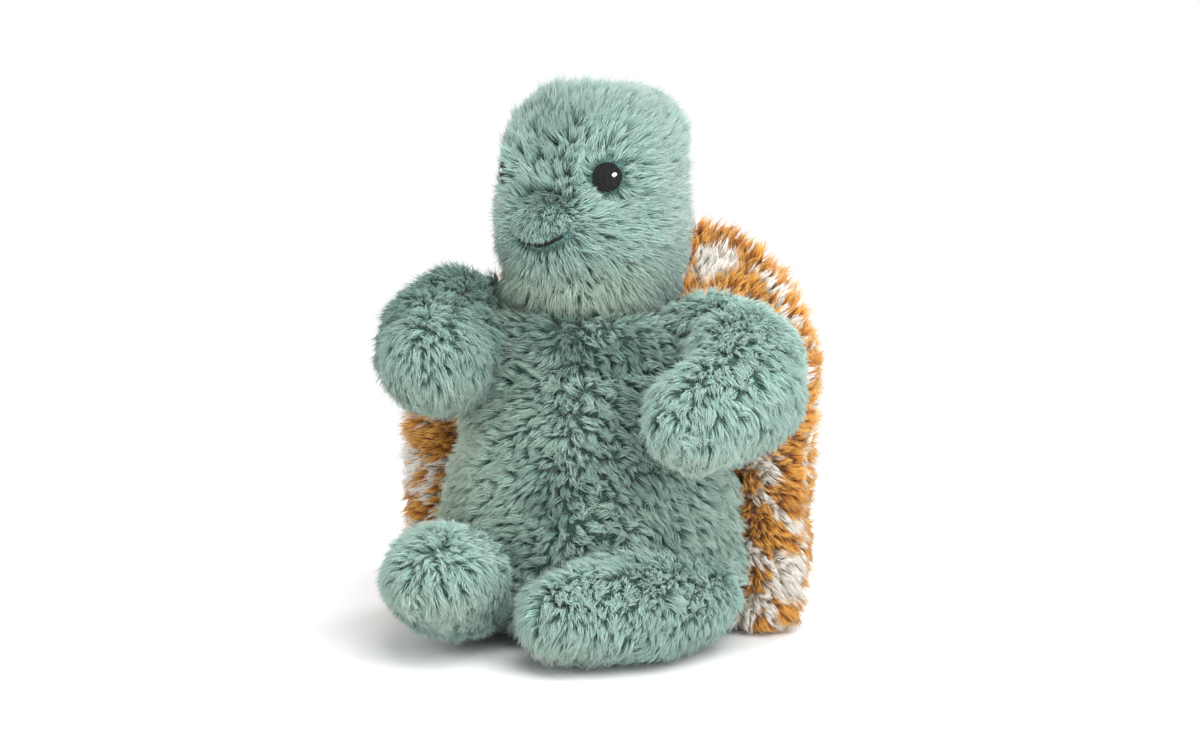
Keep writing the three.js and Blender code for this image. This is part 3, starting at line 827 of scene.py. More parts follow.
def makeLimbSkin(limb, neighbours):
    skin = makeObject(f"{limb['kind']}Sack{limb['word']}", *limbForm(limb, limb["inset"]))
    remesh(skin, limb["voxel"])

    def seams(places):
        root = np.where(places[:, 1] > limb["rootSeam"], 0, nowhereNear)
        return np.minimum(np.abs(places[:, 2]), root)

    stuff(skin, limb, seams, 4 + len(limb["name"]) + limb["side"])
    points = pointsOf(skin)
    root = easeBetween(points[:, 2], *limb["riseHeights"]) * easeOff(-points[:, 1], *limb["riseEnds"])
    points[:, 2] += limb["rootRise"] * root
    points = moved(points, limb["matrix"])
    if limb["kind"] == "leg":
        points[:, 2] = np.maximum(points[:, 2], limb["legFloor"])
    for form, tree in neighbours:
        standOff(points, form, tree)
    setPoints(skin, points)
    return finishSack(skin, limb, tealBacking, "teal_pile", None, limb["name"] + "_stuffing")


torsoSkin = makeTorsoSkin()
neckSkin = makeNeckSkin()
print("body and neck stuffed")
shellSkin = makeShellSkin()
print("shell stuffed")
headSkin = makeHeadSkin()
print("head stuffed")
limbs = [limbOf(name) for name in limbPoses]
bodyForms = [(torso, treeOf(torsoSkin)), (shell, treeOf(shellSkin))]
limbSkins = [makeLimbSkin(limb, bodyForms) for limb in limbs]
print("limbs stuffed")


# Pile: locks scattered over a skin, each a few strands that lean with the comb and meet at their tips.
pileValues = {
    "spacing": 2.2, "strands": 7, "under": 8, "length": 10.5, "lean": 56, "spread": 1.35, "gather": 0.5,
    "radius": 0.23, "stray": 0.13, "swirl": 0.6, "swirlSize": 13, "ruffle": 0.34, "floor": 0.35,
    "tuft": 4, "clump": 0.6, "tuftLean": 10,
}
sowing = {
    "tries": 3.2, "cell": 0.8, "apart": 0.72, "tuftLengths": (0.86, 1.14), "wideSwirl": 2.6,
    "lockRuffle": 0.4, "tuftTone": 0.5, "strandTone": 0.4,
}
strand = {
    "lengths": (0.76, 1.1), "radii": (0.75, 1.2), "leanSpread": 4, "leanLimits": (6, 86), "rootDeep": 0.7,
    "lowerLean": 0.55, "lowerLength": 0.56, "upperLength": 0.5, "sway": 0.45, "swayBack": 1.3,
    "tipSpread": 0.3, "bendPull": 0.45,
    "strayGather": 1.1, "strayLift": 8, "straySpread": 0.9,
    "settleBelow": 5, "settleMost": 20, "floorShare": 0.5,  # low strands are eased up off the floor
}
undercoat = {"spread": 1.15, "length": 0.7, "upright": 0.86}


def trianglesOf(skin):
    mesh = skin.data
    mesh.calc_loop_triangles()
    flat = np.empty(len(mesh.loop_triangles) * 3, np.int32)
    mesh.loop_triangles.foreach_get("vertices", flat)
    return flat.reshape(-1, 3)


def finderOf(places):
    finder = KDTree(len(places))
    for i, place in enumerate(places):
        finder.insert(place, i)
    finder.balance()
    return finder


def scatterLocks(skin, spacing, keep=None):
    points, normals, corners = pointsOf(skin), normalsOf(skin), trianglesOf(skin)
    first, second, third = (points[corners[:, i]] for i in range(3))
    area = np.linalg.norm(np.cross(second - first, third - first), axis=1) / 2
    count = int(area.sum() / spacing ** 2 * sowing["tries"])
    pick = rng.choice(len(area), count, p=area / area.sum())
    along, beside = rng.random(count), rng.random(count)
    over = along + beside > 1
    along[over], beside[over] = 1 - along[over], 1 - beside[over]
    weights = np.stack([1 - along - beside, along, beside], -1)[..., None]
    places = (points[corners[pick]] * weights).sum(1)
    facing = unit((normals[corners[pick]] * weights).sum(1))
    if keep is not None:
        kept = keep(places)
        places, facing = places[kept], facing[kept]
    cells = np.floor(places / (spacing * sowing["cell"])).astype(int)
    _, chosen = np.unique(cells, axis=0, return_index=True)
    places, facing = places[chosen], facing[chosen]
    finder = finderOf(places)
    left = np.ones(len(places), bool)
    for i, place in enumerate(places):
        if left[i]:
            for _, other, _ in finder.find_range(place, spacing * sowing["apart"]):
                if other != i:
                    left[other] = False
    return {"place": places[left], "normal": facing[left]}


def gatherTufts(locks, values):
    # a few neighbouring locks make a tuft, with one turn, lean and tone, and lean in to its middle
    place, normal = locks["place"], locks["normal"]
    finder = finderOf(place)
    free = np.ones(len(place), bool)
    middles = []
    for i in rng.permutation(len(place)):
        if free[i]:
            middles.append(i)
            for _, other, _ in finder.find_range(place[i], values["tuft"]):
                free[other] = False
    finder = finderOf(place[middles])
    owner = np.array([finder.find(own)[1] for own in place])
    pull = place[middles][owner] - place
    pull -= normal * (pull * normal).sum(1, keepdims=True)
    locks["pull"] = pull * values["clump"]
    locks["turn"] = rng.normal(0, values["ruffle"], (len(middles), 3))[owner]
    locks["tuftLean"] = rng.normal(0, values["tuftLean"], len(middles))[owner]
    locks["tuftLength"] = rng.uniform(*sowing["tuftLengths"], len(middles))[owner]
    locks["tuftTone"] = rng.random(len(middles))[owner]


def comb(locks, flow, values, roughness=1):
    # the way each lock leans: the wanted flow, swirled at two sizes and ruffled, laid on the surface
    normal = locks["normal"]
    small = noiseAt(locks["place"], values["swirlSize"], 9) * values["swirl"]
    large = noiseAt(locks["place"], values["swirlSize"] * sowing["wideSwirl"], 10) * values["swirl"]
    gatherTufts(locks, values)
    ruffle = locks["turn"] + rng.normal(0, values["ruffle"] * sowing["lockRuffle"], normal.shape)
    wanted = unit(flow) + (small + large + ruffle) * np.reshape(roughness, (-1, 1))
    wanted -= normal * (wanted * normal).sum(1, keepdims=True)
    locks["flow"] = unit(wanted)


def shareOut(locks, kept):
    return {name: value[kept] for name, value in locks.items()}


def layStrands(locks, values, perLock, share, upright):
    # each strand as three places: its root, where it bends, and its tip
    owner = np.repeat(np.arange(len(locks["place"])), perLock)
    count = len(owner)
    place, normal, flow = (locks[name][owner] for name in ("place", "normal", "flow"))
    length = (locks["length"] * locks["tuftLength"])[owner] * rng.uniform(*strand["lengths"], count) * share
    lean = (locks["lean"] + locks["tuftLean"])[owner] * upright
    lean += rng.normal(0, strand["leanSpread"], count)
    pull = locks["pull"][owner]
    stray = rng.random(count) < values["stray"]
    beside = np.cross(normal, flow)
    turn = rng.uniform(0, 2 * math.pi, count)
    off = np.sqrt(rng.random(count)) * values["spread"]
    offset = flow * (np.cos(turn) * off)[:, None] + beside * (np.sin(turn) * off)[:, None]
    gather = np.where(stray, strand["strayGather"], values["gather"])[:, None]
    lean = np.radians(np.clip(lean - np.where(stray, strand["strayLift"], 0), *strand["leanLimits"]))
    lower = lean * strand["lowerLean"]
    start = normal * np.cos(lower)[:, None] + flow * np.sin(lower)[:, None]
    heading = normal * np.cos(lean)[:, None] + flow * np.sin(lean)[:, None]
    sway = beside * rng.normal(0, strand["sway"], count)[:, None]
    root = place + offset - normal * strand["rootDeep"]
    middle = place + offset * (1 + gather) / 2 + start * (strand["lowerLength"] * length)[:, None] + sway
    jitter = rng.normal(0, strand["tipSpread"], (count, 3))
    jitter = jitter + stray[:, None] * rng.normal(0, strand["straySpread"], (count, 3))
    tip = middle + heading * (strand["upperLength"] * length)[:, None] - offset * (1 - gather) / 2
    tip = tip + jitter - sway * strand["swayBack"]
    spine = np.stack([root, middle + pull * strand["bendPull"], tip + pull], 1)
    low, height = values["floor"], spine[:, 1:, 2]
    settled = low + np.log1p(np.exp(np.minimum(height, strand["settleMost"]) - low))
    spine[:, 1:, 2] = np.where(height < strand["settleBelow"], settled, height)
    radius = values["radius"] * rng.uniform(*strand["radii"], count)
    return {"owner": owner, "spine": spine, "radius": radius, "beside": beside, "place": place}


def spikes(laid, rings, floor):
    # a closed three-sided spike round each strand, with a ring at each given place and one point at its tip
    spine = laid["spine"]
    axis = unit(spine[:, 2] - spine[:, 0])
    across = unit(np.cross(axis, laid["beside"] + 0.02))  # a little off, so that it is never along the axis
    third = np.cross(axis, across)
    phase = rng.uniform(0, 2 * math.pi, len(spine))
    points = np.empty((len(spine), len(rings) * 3 + 1, 3))
    for number, (place, share) in enumerate(rings):
        for corner in range(3):
            angle = phase + corner * 2 * math.pi / 3
            side = across * np.cos(angle)[:, None] + third * np.sin(angle)[:, None]
            points[:, number * 3 + corner] = spine[:, place] + side * (laid["radius"] * share)[:, None]
    points[:, -1] = spine[:, 2]
    points[:, :, 2] = np.maximum(points[:, :, 2], floor)
    return points


# the two kinds of strand: faces, how far along each point is, and each corner's place in its cell of the map
rootCell = [(0.2, 0.04), (0.5, 0.12), (0.8, 0.04)]
longStrand = {
    "rings": [(0, 0.9), (1, 1)],
    "faces": [(0, 2, 1), (0, 1, 4, 3), (1, 2, 5, 4), (2, 0, 3, 5), (3, 4, 6), (4, 5, 6), (5, 3, 6)],
    "along": [0, 0, 0, 0.5, 0.5, 0.5, 1],
    "cell": rootCell + 3 * [(0.2, 0.15), (0.8, 0.15), (0.8, 0.5), (0.2, 0.5)]
    + 3 * [(0.2, 0.5), (0.8, 0.5), (0.5, 0.9)],
}
shortStrand = {
    "rings": [(0, 1.1)],
    "faces": [(0, 2, 1), (0, 1, 3), (1, 2, 3), (2, 0, 3)],
    "along": [0, 0, 0, 0.75],
    "cell": rootCell + 3 * [(0.2, 0.15), (0.8, 0.15), (0.5, 0.9)],
}


def growPile(name, locks, material, values):
    short = {**values, "gather": 1, "spread": values["spread"] * undercoat["spread"]}
    coat = layStrands(locks, values, values["strands"], 1, 1)
    under = layStrands(locks, short, values["under"], undercoat["length"], undercoat["upright"])
    tuftTone, strandTone = sowing["tuftTone"], sowing["strandTone"]
    lockTone = tuftTone * locks["tuftTone"] + (1 - tuftTone) * rng.random(len(locks["place"]))
    titles = ("points", "loops", "sizes", "along", "tone", "warmth", "shade", "place", "map")
    parts = {title: [] for title in titles}
    across = math.ceil(math.sqrt(len(coat["owner"]) + len(under["owner"])))
    base, cell = 0, 0
    for laid, kind in ((coat, longStrand), (under, shortStrand)):
        points = spikes(laid, kind["rings"], values["floor"] * strand["floorShare"])
        count, size = points.shape[:2]
        corners = np.concatenate([np.array(face) for face in kind["faces"]])
        parts["points"].append(points.reshape(-1, 3))
        parts["loops"].append((corners[None] + np.arange(count)[:, None] * size + base).ravel())
        parts["sizes"].append(np.tile([len(face) for face in kind["faces"]], count))
        parts["along"].append(np.tile(kind["along"], count))
        tone = lockTone[laid["owner"]] * (1 - strandTone) + rng.random(count) * strandTone
        parts["tone"].append(np.repeat(np.clip(tone, 0, 1), size))
        for title in ("warmth", "shade"):
            parts[title].append(np.repeat(locks[title][laid["owner"]], size))
        parts["place"].append(np.repeat(laid["place"], size, 0))
        number = np.arange(count) + cell
        corner = np.stack([number % across, number // across], -1)
        parts["map"].append(((corner[:, None] + np.array(kind["cell"])[None]) / across).reshape(-1, 2))
        base += count * size
        cell += count
    whole = {title: np.concatenate(both) for title, both in parts.items()}
    return strandMesh(name, whole, material)


def strandMesh(name, whole, material):
    mesh = bpy.data.meshes.new(name)
    mesh.vertices.add(len(whole["points"]))
    mesh.vertices.foreach_set("co", (whole["points"] * mm).astype(np.float32).ravel())
    mesh.loops.add(len(whole["loops"]))
    mesh.loops.foreach_set("vertex_index", whole["loops"].astype(np.int32))
    mesh.polygons.add(len(whole["sizes"]))
    starts = np.concatenate([[0], np.cumsum(whole["sizes"])[:-1]])
    mesh.polygons.foreach_set("loop_start", starts.astype(np.int32))
    mesh.update(calc_edges=True)
    mesh.polygons.foreach_set("use_smooth", np.ones(len(whole["sizes"]), bool))
    for title in ("along", "tone", "warmth", "shade"):
        made = mesh.attributes.new(title, "FLOAT", "POINT")
        made.data.foreach_set("value", whole[title].astype(np.float32))
    made = mesh.attributes.new("rootPlace", "FLOAT_VECTOR", "POINT")
    made.data.foreach_set("vector", (whole["place"] * mm).astype(np.float32).ravel())
    bakeMap = mesh.uv_layers.new(name="OFBake")
    bakeMap.data.foreach_set("uv", whole["map"].astype(np.float32).ravel())
    mesh.materials.append(material)
    pile = addObject(name, mesh)
    print(f"{name}: {int((whole['sizes'] - 2).sum())} triangles")
    return pile


def halves(x):
    return ("Left", x > 0), ("Right", x <= 0)


def growPieces(pieces, locks, values, material=tealPile):
    piles = []
    for name, node, kept in pieces:
        pile = growPile(name, shareOut(locks, kept), material, values)
        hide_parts(node)
        piles.append(pile)
    return piles


def insideLimb(limb, places, inset, steps=24):
    own = moved(places, limb["matrix"].inverted())
    ways = np.linspace(0, 1, steps)
    spine, _ = limbSpine(limb, ways)
    swell = alongShares(limb["swellShares"], ways)
    away = own[:, None] - spine[None]
    high = away[:, :, 2] / (limb["halfHeight"] * swell - inset)
    flat = np.linalg.norm(away[:, :, :2], axis=2) / (limb["halfWidth"] * swell - inset)
    return (np.hypot(high, flat) < 1).any(1)


torsoComb = {
    "shellReach": 5, "shellInset": 6, "shellThinned": 0.75, "limbReach": 2, "limbInset": 3,
    "seatBelow": 4, "seatThinned": 0.4, "splitHeight": 84,
    "parting": 6, "out": 0.8, "outGain": 0.002, "down": 0.6, "sideDown": 0.4, "sideFrom": (20, 70),
    "footHeights": (5, 16), "footLean": 26, "footShorter": 0.3,
    "backFrom": (4, 14), "backLean": 22, "backShorter": 0.35,
    "waveSize": 17, "waveLean": 16, "leanSpread": 6,
    "warmth": 0.3, "sideWarmth": 0.6, "warmAt": -62, "warmWidth": 30,
    # painted shade on the belly's middle, where the head and arms shade it, and under the chin
    "mattedShade": 0.9, "mattedAt": (18, 78), "mattedHalf": (46, 80),
    "chinShade": 0.6, "chinHeights": (120, 160), "chinAt": 10, "chinWidth": 60,
    "shade": 0.12, "patchSize": 20, "patchShade": 0.75, "patchRange": 0.8,
}


def alwaysUnder(limb, places):
    # inside the limb at rest and at both ends of its swing, so that no bare cloth shows when it moves
    joint = joints[limb["name"] + "_lift"]
    pivot = Vector(pivotOf(joint["name"]))
    under = np.ones(len(places), bool)
    for degrees in (0, *joint["range_deg"]):
        swing = Matrix.Rotation(math.radians(degrees), 4, Vector(joint["axis"]))
        swung = Matrix.Translation(pivot) @ swing @ Matrix.Translation(-pivot) @ limb["matrix"]
        under &= insideLimb({**limb, "matrix": swung}, places, limb["inset"] + torsoComb["limbInset"])
    return under


def growTorsoPile():
    values, own = pileValues, torsoComb
    locks = scatterLocks(torsoSkin, values["spacing"])
    place, normal = locks["place"], locks["normal"]
    hidden = insideForm(shell, place + normal * own["shellReach"], own["shellInset"])
    hidden &= rng.random(len(place)) < own["shellThinned"]
    for limb in limbs:
        hidden |= alwaysUnder(limb, place + normal * own["limbReach"])
    hidden |= (place[:, 2] < own["seatBelow"]) & (rng.random(len(place)) < own["seatThinned"])
    locks = shareOut(locks, ~hidden)
    place = locks["place"]
    x, y, z = place.T
    out = np.tanh(x / own["parting"]) * (own["out"] + own["outGain"] * np.abs(x))
    down = -own["down"] - own["sideDown"] * easeBetween(np.abs(x), *own["sideFrom"])
    comb(locks, np.stack([out, np.zeros(len(place)), down], -1), values)
    low = easeOff(z, *own["footHeights"])
    back = easeBetween(y, *own["backFrom"])
    wave = noiseAt(place, own["waveSize"], 11)[:, 0] * own["waveLean"]
    lean = values["lean"] + own["footLean"] * low + own["backLean"] * back + wave
    locks["lean"] = lean + rng.normal(0, own["leanSpread"], len(place))
    locks["length"] = values["length"] * (1 - own["footShorter"] * low - own["backShorter"] * back)
    locks["warmth"] = own["warmth"] + own["sideWarmth"] * bump(x - own["warmAt"], own["warmWidth"])
    # painted shade: the belly's middle and under the chin, a little all over the front, with random patches
    # in its strength
    (shadowX, shadowZ), (halfX, halfZ) = own["mattedAt"], own["mattedHalf"]
    paintedShade = bump(np.hypot((x - shadowX) / halfX, (z - shadowZ) / halfZ), 1)
    chin = easeBetween(z, *own["chinHeights"]) * bump(x - own["chinAt"], own["chinWidth"])
    patches = own["patchShade"] + own["patchRange"] * noiseAt(place, own["patchSize"], 12)[:, 1]
    shade = own["mattedShade"] * paintedShade + own["chinShade"] * chin + own["shade"]
    locks["shade"] = np.clip(shade * patches, 0, 1) * (y < 0)
    seat = z < torso["seatSeam"]
    belly = ~seat & (y < torso["sideSeam"])
    high = z > own["splitHeight"]
    pieces = []
    for word, side in halves(x):
        for part, level in (("Upper", high), ("Lower", ~high)):
            pieces.append((f"bellyPile{word}{part}", "belly_panel_" + word.lower(), belly & side & level))
    pieces += [("backPile", "back_panel", ~seat & ~belly), ("seatPile", "seat_panel", seat)]
    for pile in growPieces(pieces, locks, values):
        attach(pile, "torso")


# the neck band's shade is painted shade, as it sits under the head
neckPileValues = {
    **pileValues, "spacing": 3, "length": 7, "lean": 68, "warmth": 0.1, "shade": 0.2,
    "bandAt": 13, "bandHalf": 9,
}


def growNeckPile():
    values = neckPileValues

    def inBand(places):
        return np.abs(places[:, 2] - neckMiddle[2] - values["bandAt"]) < values["bandHalf"]

    locks = scatterLocks(neckSkin, values["spacing"], inBand)
    count = len(locks["place"])
    comb(locks, np.tile([0, 0, -1.0], (count, 1)), values)
    for title in ("lean", "length", "warmth", "shade"):
        locks[title] = np.full(count, float(values[title]))
    for pile in growPieces([("neckPile", "neck_cover", np.ones(count, bool))], locks, values):
        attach(pile, "neck")


shellPileValues = {
    **pileValues, "spacing": 2.4, "under": 6, "gather": 0.7, "swirl": 0.25, "ruffle": 0.22, "radius": 0.25,
    "stray": 0.1, "tuft": 4.2, "clump": 0.4, "tuftLean": 6,
    "seatNear": 0.5, "seatKept": 0.1, "middleHeight": 105, "splits": [50, 98, 146],
    "footHeights": (4.5, 12), "footLean": 26, "footShorter": 0.25,
    "innerFrom": (6, 14), "innerLift": 24, "leanSpread": 5, "rimAcross": 100, "rimShorter": 0.12,
}


def bodyDistance(place):
    # how far outside the body's form a place is, about
    section = sectionAt(torso, place[:, 2])
    depth = np.where(place[:, 1] < 0, section["front"], section["back"])
    ring = np.hypot(place[:, 0] / section["halfWidth"], (place[:, 1] - section["middle"]) / depth)
    return np.where(place[:, 2] > torso["top"], nowhereNear, (ring - 1) * depth)


def growShellPile():
    values = shellPileValues
    locks = scatterLocks(shellSkin, values["spacing"])
    clear = bodyDistance(locks["place"]) > values["seatNear"]
    locks = shareOut(locks, clear | (rng.random(len(clear)) < values["seatKept"]))
    place = locks["place"]
    x, _, z = place.T
    comb(locks, np.stack([x, np.zeros(len(place)), z - values["middleHeight"]], -1), values)
    low = easeOff(z, *values["footHeights"])
    inner = easeOff(bodyDistance(place), *values["innerFrom"]) * (z < torso["top"])
    lean = values["lean"] + values["footLean"] * low - values["innerLift"] * inner
    locks["lean"] = lean + rng.normal(0, values["leanSpread"], len(place))
    locks["length"] = values["length"] * (1 - values["footShorter"] * low)
    locks["length"] *= 1 - values["rimShorter"] * (x > values["rimAcross"])
    locks.update(warmth=np.zeros(len(place)), shade=np.zeros(len(place)))
    level = np.digitize(z, values["splits"])
    pieces = []
    for word, side in halves(x):
        for number, part in enumerate(("Foot", "Lower", "Upper", "Top")):
            pieces.append((f"shellPile{word}{part}", "shell_cover", side & (level == number)))
    for pile in growPieces(pieces, locks, values, shellPile):
        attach(pile, "torso")


headPileValues = {
    **pileValues, "spacing": 2.1, "strands": 8, "under": 7, "length": 11, "lean": 68, "spread": 1.5,
    "gather": 0.9, "swirl": 0.24, "ruffle": 0.13, "radius": 0.21, "tuft": 4.5, "clump": 0.22, "tuftLean": 3,
}
headComb = {
    "underBare": 6, "underFlat": 30, "eyeBare": 0.2, "eyeReach": 14, "smileSteps": 25,
    "noseAhead": 44, "back": 0.25, "behindFrom": (5, 30), "behindDown": 0.5,
    "lowHeights": (24, 52), "lowFlow": (0.15, 0.1, -0.7),
    "eyeFar": (8, 18), "eyeShorter": 0.4, "eyeRim": (8, 11), "eyeLift": 14,
    "hideFar": (14, 19), "hideFrom": (-3, 2), "hideHeights": (7, 11), "hideFlow": (-1, 0.3, 0),
    "hideLift": 36,
    "faceFrom": (20, 38), "fanWidth": 16,
    "ballExtra": 2, "ballEdge": (0.8, 1.1), "ballDrop": -0.8, "ballShorter": 0.35, "ballLift": 14,
    "tuftAbove": 4, "tuftHeight": 7, "tuftAcross": (14, 26), "tuftLift": 30,
    "mouthFar": (3, 9), "mouthShorter": 0.3, "lipShorter": 0.42,
    "partingAcross": (6, 18), "partingHeights": (78, 86), "partingEnds": (110, 122), "partingLift": 16,
    "leanSpread": 3, "hangHeights": (20, 36), "hangLonger": 0.25, "hangLift": 10,
    "partingRough": 2.2, "tuftRough": 1.2,
    "warmth": 0.1, "lowWarmth": 0.75, "warmFrom": (-5, 30),
    "creaseBelow": 1, "creaseWidth": 4, "creaseAcross": (8, 17), "crownHeights": (88, 116),
    # the shades below are painted shade: the whole head a little, more on the crown, in the crease above the
    # muzzle and along the parting; the patches are the pile's own tone
    "patchSize": 24, "shade": 0.3, "partingShade": 0.35, "creaseShade": 0.8, "patchShade": 0.2,
    "crownShade": 0.15, "crownPatches": 0.3,
}


def headBare(own, eyes, smile):
    # no pile grows where the head sits on the neck, on the eyes or along the smile
    flat = np.hypot(own[:, 0], own[:, 1])
    under = own[:, 2] < head["underside"] + headComb["underBare"] + flat * head["undersideRise"]
    bare = under & (flat < headComb["underFlat"])
    for centre, out, _ in eyes:
        away = own - centre
        disc = np.linalg.norm(away - out * (away @ out)[:, None], axis=1)
        near = np.linalg.norm(away, axis=1) < headComb["eyeReach"]
        bare |= (disc < eye["radius"] + headComb["eyeBare"]) & near
    return bare | (farFrom(own, smile) < mouth["bare"])


def combHead(locks, own, eyes, smile):
    # back from the nose, round the eyes, down over the muzzle's ball, and up and out in a tuft above it
    values, way = headPileValues, headComb
    across, height, count = own[:, 0], own[:, 2], len(own)
    flow = unit(own - np.array([0, head["middle"] - way["noseAhead"], muzzle["ball"]["height"]]))
    flow[:, 1] += way["back"]
    flow[:, 2] -= way["behindDown"] * easeBetween(own[:, 1], *way["behindFrom"])
    low = easeOff(height, *way["lowHeights"])
    flow += low[:, None] * np.array(way["lowFlow"])
    lean = np.full(count, float(values["lean"]))
    length = np.full(count, float(values["length"]))
    for side, (centre, out, _) in zip((1, -1), eyes):
        away = own - centre
        far = np.linalg.norm(away, axis=1)
        share = easeOff(far, *way["eyeFar"])
        if side < 0:
            # the pile beside the far eye stands up and hides it from the front left
            over = easeOff(far, *way["hideFar"]) * easeBetween(across - centre[0], *way["hideFrom"])
            over *= easeOff(np.abs(away[:, 2]), *way["hideHeights"])
            share = share * (1 - over)
            flow = blended(flow, np.array(way["hideFlow"]), over)
            lean -= way["hideLift"] * over
        flow = blended(flow, unit(away), share)
        length *= 1 - way["eyeShorter"] * share
        lean -= way["eyeLift"] * easeOff(far, *way["eyeRim"]) * share
    ahead = easeBetween(-own[:, 1], *way["faceFrom"])
    ball = easeOff(ovalShare(own, "ball", way["ballExtra"]), *way["ballEdge"]) * ahead
    drop = np.stack([across / way["fanWidth"], np.zeros(count), np.full(count, way["ballDrop"])], -1)
    flow = blended(flow, drop, ball)
    length *= 1 - way["ballShorter"] * ball
    lean -= way["ballLift"] * ball
    tuft = bump(height - muzzle["crease"] - way["tuftAbove"], way["tuftHeight"])
    tuft = tuft * easeOff(np.abs(across), *way["tuftAcross"]) * ahead * (1 - ball)
    fan = np.stack([across / way["fanWidth"], np.zeros(count), np.ones(count)], -1)
    flow = blended(flow, fan, tuft)
    lean -= way["tuftLift"] * tuft
    above = height > mouthHeight(across / mouth["halfWidth"])
    shorter = way["mouthShorter"] + way["lipShorter"] * above
    length *= 1 - shorter * easeOff(farFrom(own, smile), *way["mouthFar"])
    middle = ahead * easeOff(np.abs(across), *way["partingAcross"])
    middle = middle * easeBetween(height, *way["partingHeights"]) * easeOff(height, *way["partingEnds"])
    lean -= way["partingLift"] * middle
    lean += rng.normal(0, way["leanSpread"], count)
    hanging = easeOff(height, *way["hangHeights"])
    length *= 1 + way["hangLonger"] * hanging
    lean -= way["hangLift"] * hanging
    roughness = 1 + way["partingRough"] * middle + way["tuftRough"] * tuft + ball
    comb(locks, flow @ np.array(headMatrix.to_3x3()).T, values, roughness)
    locks["lean"] = lean
    locks["length"] = length
    locks["warmth"] = way["warmth"] + way["lowWarmth"] * low * easeBetween(-own[:, 1], *way["warmFrom"])
    # painted shade on the head: a little all over, more on the crown, in the crease above the muzzle and
    # along the parting, with random patches of the pile's own tone
    crease = bump(height - muzzle["crease"] + way["creaseBelow"], way["creaseWidth"])
    crease = crease * easeOff(np.abs(across), *way["creaseAcross"]) * ahead
    patches = np.clip(noiseAt(own, way["patchSize"], 14)[:, 0], 0, 1)
    shade = way["shade"] + way["partingShade"] * middle + way["creaseShade"] * crease
    crown = (way["crownShade"] + way["crownPatches"] * patches) * easeBetween(height, *way["crownHeights"])
    locks["shade"] = np.clip(shade + way["patchShade"] * patches + crown, 0, 1)


def growHeadPile():
    back = headMatrix.inverted()
    eyes = [eyePlace(side) for side in (1, -1)]
    smile = mouthLine(treeOf(headSkin), headComb["smileSteps"])
    locks = scatterLocks(headSkin, headPileValues["spacing"])
    locks = shareOut(locks, ~headBare(moved(locks["place"], back), eyes, smile))
    own = moved(locks["place"], back)
    combHead(locks, own, eyes, smile)
    face = own[:, 1] < head["middle"]
    pieces = []
    for word, side in halves(own[:, 0]):
        for part, depth in (("Face", face), ("Nape", ~face)):
            pieces.append((f"headPile{word}{part}", "head_panel_" + word.lower(), side & depth))
    for pile in growPieces(pieces, locks, headPileValues):
        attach(pile, "head")


limbPileValues = {
    **pileValues, "spacing": 2.1, "lean": 65, "gather": 0.7, "swirl": 0.4, "ruffle": 0.25,
    "radius": 0.22, "clump": 0.4, "tuftLean": 6,
    "hiddenReach": 1.5, "hiddenInset": 1, "endFrom": 0.6, "endTo": 1.2,
    "out": 0.008, "along": 0.9, "endHeld": 0.7, "under": 8, "down": 0.3, "hang": 0.4, "endHang": 0.5,
    "footHeights": (4.5, 12), "footLean": 20, "footShorter": 0.2, "endLean": 10, "leanSpread": 5,
    "warmth": 0.1, "endWarmth": 0.45, "warmFrom": (-8, 16),
    "shade": 0.08, "patchSize": 22, "patchShade": 0.3, "endLit": 0.8,
}


def growLimbPile(limb, skin):
    values = limbPileValues
    locks = scatterLocks(skin, values["spacing"])
    reach = locks["place"] + locks["normal"] * values["hiddenReach"]
    hidden = np.zeros(len(reach), bool)
    for form, _ in bodyForms:
        hidden |= insideForm(form, reach, form["inset"] - values["hiddenInset"])
    locks = shareOut(locks, ~hidden)
    own = moved(locks["place"], limb["matrix"].inverted())
    count = len(own)
    end = easeBetween(-own[:, 1], limb["length"] * values["endFrom"], limb["length"] * values["endTo"])
    along = values["endHeld"] * end - values["along"]
    flow = np.stack([own[:, 0] * values["out"], along, np.full(count, -values["down"])], -1)
    flow = flow @ np.array(limb["matrix"].to_3x3()).T
    flow[:, 2] -= values["hang"] + values["endHang"] * end
    comb(locks, flow, values)
    low = np.zeros(count)
    if limb["kind"] == "leg":
        low = easeOff(locks["place"][:, 2], *values["footHeights"])
    lean = values["lean"] + values["endLean"] * end + values["footLean"] * low
    locks["lean"] = lean + rng.normal(0, values["leanSpread"], count)
    locks["length"] = values["length"] * (1 - values["footShorter"] * low)
    warmer = end * easeBetween(-own[:, 2], *values["warmFrom"])
    locks["warmth"] = values["warmth"] + values["endWarmth"] * warmer
    patches = np.clip(noiseAt(locks["place"], values["patchSize"], 13)[:, 0], 0, 1)
    # painted shade on the root half, lighter towards the end, with random patches of the pile's own tone
    shade = values["shade"] + values["patchShade"] * patches + limb["shaded"] * (1 - values["endLit"] * end)
    locks["shade"] = np.clip(shade, 0, 1)
    lower = "under" if limb["kind"] == "arm" else "sole"
    title = f"{limb['kind']}Pile{limb['word']}"
    pieces = [
        (title + "Top", limb["name"] + "_top", own[:, 2] > 0),
        (title + lower.capitalize(), f"{limb['name']}_{lower}", own[:, 2] <= 0),
    ]
    for pile in (*growPieces(pieces, locks, values), skin):
        bendLimb(pile, limb)


growTorsoPile()
growNeckPile()
growShellPile()
growHeadPile()
for limb, skin in zip(limbs, limbSkins):
    growLimbPile(limb, skin)
print("pile grown")


